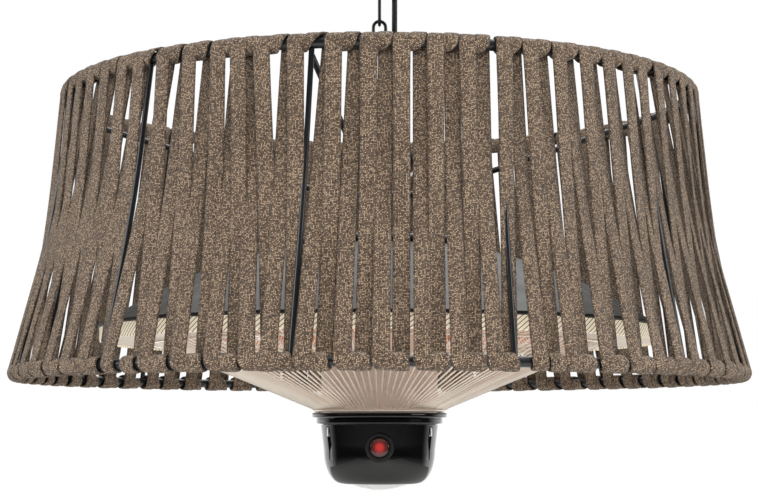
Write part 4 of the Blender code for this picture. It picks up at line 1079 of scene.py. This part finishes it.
# %% [markdown]
# ## Switch and light
# The switch is a shallow red dome in a black bezel that faces the front. Below, a milky lens covers
# the ring of white lights on their board. All are round, so each is turned on the lathe, and the
# two of the switch are then laid on their backs to face forwards. The button is a body of its own,
# because it moves when it is pressed.

# %% Button, bezel and lens
BODY_FRONT = body_radius(BODY_TOP - BUTTON_HEIGHT)
BEZEL_PROUD, BUTTON_PROUD = 0.0008, 0.0024
BUTTON_RADIUS, BUTTON_CROWN, BUTTON_LENGTH = 0.008, 0.002, 0.009
LENS_RADIUS, LENS_CROWN, LENS_TOP, LENS_EDGE = 0.0245, 0.0052, -0.0798, -0.0828
bezel = [(0.0083, -0.0008), (0.0088, 0.0), (0.0108, 0.0), (0.0115, -0.0009)]
bezel += [(0.0115, -0.0065), (0.0083, -0.0065)]
bezel = face_front(lathe(bezel, 64, closed=True), -(BODY_FRONT + BEZEL_PROUD))
finish_piece("switch_bezel", bezel, SOFT_BLACK, "heater", ["button_bezel"])
button = []
for step in range(9):
    angle = step / 8 * math.pi / 2
    button.append((BUTTON_RADIUS * math.sin(angle), -BUTTON_CROWN * (1 - math.cos(angle))))
button += [(BUTTON_RADIUS, -BUTTON_LENGTH), (0, -BUTTON_LENGTH)]
button = face_front(lathe(button, 64), -(BODY_FRONT + BUTTON_PROUD))
finish_piece("switch_button", button, RED_SWITCH, "button", ["power_button"])
sphere = (LENS_RADIUS**2 + LENS_CROWN**2) / (2 * LENS_CROWN)
widest = math.asin(LENS_RADIUS / sphere)
lens = [(0, LENS_TOP), (LENS_RADIUS, LENS_TOP), (LENS_RADIUS, LENS_EDGE)]
for step in range(1, 13):
    angle = widest * (1 - step / 12)
    lens.append((sphere * math.sin(angle), LENS_EDGE - sphere * (math.cos(angle) - math.cos(widest))))
finish_piece("light_lens", lathe(lens, 96), LENS_WHITE, "heater", ["led_lens"])
repaint(BOARD, "circuit_board", "led_board")

# %% [markdown]
# ## Chain, hook and eye
# Long oval links of bent wire hang between an open ceiling hook and an eye bolt on the shade's hub.
# A stretched torus would thin the wire where it is straight. So each is one line of points that a
# round section follows, as wire goes round a former, and a closed line makes a link.

# %% Chain links
LINKS = 6
LINK_TOP, LINK_PITCH = 0.3124, 0.0251
LINK_WIRE, LINK_STRAIGHT, LINK_CROWN = 0.0014, 0.009, 0.0051


def oval(straight, crown, steps=10):
    """Centre line of a long link in the XZ plane."""
    points = []
    for end in (1, -1):
        for step in range(steps + 1):
            angle = math.pi * step / steps
            up = straight + crown * math.sin(angle)
            points.append(Vector((end * crown * math.cos(angle), 0, end * up)))
    return points


for index in range(LINKS):
    turn = math.pi / 2 * ((index + 1) % 2)
    height = LINK_TOP - index * LINK_PITCH
    place = Matrix.Translation((0, 0, height)) @ Matrix.Rotation(turn, 4, "Z")
    line = [place @ point for point in oval(LINK_STRAIGHT, LINK_CROWN)]
    link = wire(line, LINK_WIRE, place.to_3x3() @ Vector((0, 1, 0)), closed=True)
    body_name = {0: "first_link", LINKS - 1: "last_link"}.get(index, "chain")
    node = f"chain_link_{index + 1}"
    finish_piece(f"steel_{node}", link, CHAIN_BLACK, body_name, [node], 60)

# %% Hook, eye and ceiling plate
# The hook bends round its bight, then back over the neck to end straight below the plate.
HOOK_WIRE, HOOK_BEND, HOOK_MIDDLE = 0.002, 0.007, 0.3298
NECK_TOP, HOOK_TOP = 0.3467, 0.3514
EYE_WIRE, EYE_BEND, EYE_MIDDLE, EYE_STEPS = 0.002, 0.007, 0.1695, 32
hook_line = []
for step in range(29):
    angle = math.radians(35) - math.radians(260) * step / 28
    across, up = HOOK_BEND * math.cos(angle), HOOK_BEND * math.sin(angle)
    hook_line.append(Vector((across, 0, HOOK_MIDDLE + up)))
neck = HOOK_BEND * math.sqrt(0.5) / (1 - math.sqrt(0.5))
for step in range(1, 7):
    angle = -math.pi / 4 * (1 - step / 6)
    hook_line.append(Vector((neck * (math.cos(angle) - 1), 0, NECK_TOP + neck * math.sin(angle))))
hook_line.append(Vector((0, 0, HOOK_TOP)))
hook = wire(hook_line, HOOK_WIRE, (0, 1, 0), 14)
finish_piece("open_hook", hook, CHAIN_BLACK, "ceiling_mount", ["ceiling_hook"], 60)

eye_line = [Vector((0, y, EYE_MIDDLE + z)) for y, z in circle(EYE_BEND, EYE_STEPS)]
eye = wire(eye_line, EYE_WIRE, (1, 0, 0), 14, closed=True)
shank = [(0, 0.1620), (0.0028, 0.1618), (0.003, 0.1612), (0.003, 0.1382), (0.0026, 0.1380), (0, 0.1380)]
shank = lathe(shank, 32)
finish_piece("eye_with_shank", join(eye, shank), NICKEL, "heater", ["eye_bolt"], 50)
repaint(NICKEL, "bright_steel", "eye_nut")
plate = [(0, 0.3597), (0.042, 0.3597), (0.042, 0.3562), (0.036, 0.3517), (0, 0.3517)]
plate = lathe(rounded(plate, 0.002), 96)
finish_piece("ceiling_rose", plate, SOFT_BLACK, "ceiling_mount", ["ceiling_plate"])

# %% [markdown]
# ## Supply cable
# The cable drops from its gland beside the chain and swings out to a gland on the junction cap. One
# tube could ride on one body only and would tear off the others. The cable passes four joints, so
# it is made in five lengths: the middle one rides on the chain, and each stretch that passes a joint
# is left on no body.

# %% Cable and glands
CABLE_RADIUS = 0.0023
CABLE_X, CABLE_LOW_X, CABLE_Y = 0.0128, 0.037, 0.005
CABLE_SEAT = span("cable_gland_lower")[0]
CABLE_OUT = CABLE_SEAT + 0.0085
CABLE_END = 0.3511
# Shares of the way up, and of the way out to the lower gland.
ROUTE = [(0.0, 1.0), (0.1, 1.0), (0.18, 0.94), (0.28, 0.55), (0.38, 0.14), (0.48, 0.0), (1.0, 0.0)]


def cable_line():
    """Fine points down the cable, from the ceiling gland to the cap gland."""
    places = [Vector((CABLE_LOW_X, CABLE_Y, CABLE_SEAT + 0.0003))]
    for up, aside in ROUTE:
        x = CABLE_X + (CABLE_LOW_X - CABLE_X) * aside
        places.append(Vector((x, CABLE_Y, CABLE_OUT + (CABLE_END - CABLE_OUT) * up)))
    fine = []
    for index in range(len(places) - 1):
        before, start = places[max(index - 1, 0)], places[index]
        end, after = places[index + 1], places[min(index + 2, len(places) - 1)]
        steps = max(6, round((end - start).length / 0.003))
        for step in range(steps):
            t = step / steps
            bend = 2 * start + (end - before) * t + (2 * before - 5 * start + 4 * end - after) * t**2
            fine.append(0.5 * (bend + (3 * start - before - 3 * end + after) * t**3))
    return [*fine, places[-1]][::-1]


LINE = cable_line()
# A height below the lowest stretch's upper end; the point worked out from it is not used.
EYE_BEND_HEIGHT = 0.05
# Each stretch: its name, the height where it starts, and the bodies above and below it.
LENGTHS = (
    ("cable_at_hook", 0.3600, "ceiling_mount", "first_link"),
    ("cable_at_first_link", 0.3105, "first_link", "chain"),
    ("cable_at_chain", 0.2770, "chain", None),
    ("cable_at_last_link", 0.2240, "chain", "last_link"),
    ("cable_at_cap", 0.1885, "last_link", "heater"),
)
starts = [min(range(len(LINE)), key=lambda k: abs(LINE[k].z - high)) for _, high, *_ in LENGTHS]
for index, (name, _, upper_body, lower_body) in enumerate(LENGTHS):
    part = LINE[starts[index] : (starts + [len(LINE) - 1])[index + 1] + 1]
    mesh = wire(part, CABLE_RADIUS, (0, 1, 0), 14)
    joined = ["power_cable"] if index == 0 else []
    rides_on = None if lower_body else upper_body
    cable = finish_piece(name, mesh, SOFT_BLACK, rides_on, joined, 60)
    row = [point + Vector((0, 0, SHADE_FOOT)) for point in part]
    if lower_body:
        last = row[0] - Vector((0, 0, EYE_BEND_HEIGHT)) if lower_body == "heater" else row[-1]
        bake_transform(cable)
    run = sum((b - a).length for a, b in zip(row, row[1:]))
    print(f"{name}: {run * 1000:.0f} mm")

# Each gland's node, its place, and whether it points up or down.
GLANDS = (("cable_gland_lower", CABLE_LOW_X, CABLE_SEAT, 1), ("cable_gland_upper", CABLE_X, HOOK_TOP, -1))
gland_profile = [(0.0026, 0.0085), (0.0045, 0.0085), (0.0050, 0.0062), (0.0058, 0.0060)]
gland_profile += [(0.0065, 0.0052), (0.0065, 0.0), (0.0026, 0.0)]
for name, x, seat, way in GLANDS:
    gland = lathe(rounded(gland_profile, 0.0003), 48, closed=True)
    bmesh.ops.scale(gland, vec=(1, 1, way), verts=gland.verts)
    bmesh.ops.translate(gland, vec=(x, CABLE_Y, seat), verts=gland.verts)
    body_name = "heater" if way > 0 else "ceiling_mount"
    finish_piece(f"{name}_nut", gland, SOFT_BLACK, body_name, [name])

# %% [markdown]
# ## Floor
# The heater hangs well above a pale floor, which only takes its soft shadow. A curved backdrop
# would do the same work, but the white world already closes the view, so one flat sheet is enough.

# %% Floor
FLOOR_HEIGHT = -1.45
floor_paint = Finish("pale_floor", Roughness=0.9)
floor_tone = floor_paint.blend(floor_paint.noise(3.0), srgb(232, 232, 230), srgb(240, 240, 238))
floor_paint.feed(Base_Color=floor_tone)
floor_bm = bmesh.new()
bmesh.ops.create_grid(floor_bm, x_segments=1, y_segments=1, size=3.0)
bmesh.ops.translate(floor_bm, vec=(0, 0, FLOOR_HEIGHT), verts=floor_bm.verts)
floor_mesh = bpy.data.meshes.new("floor")
floor_bm.to_mesh(floor_mesh)
floor_bm.free()
floor_mesh.materials.append(floor_paint.material)
floor = bpy.data.objects.new("floor", floor_mesh)
SCENE.collection.objects.link(floor)
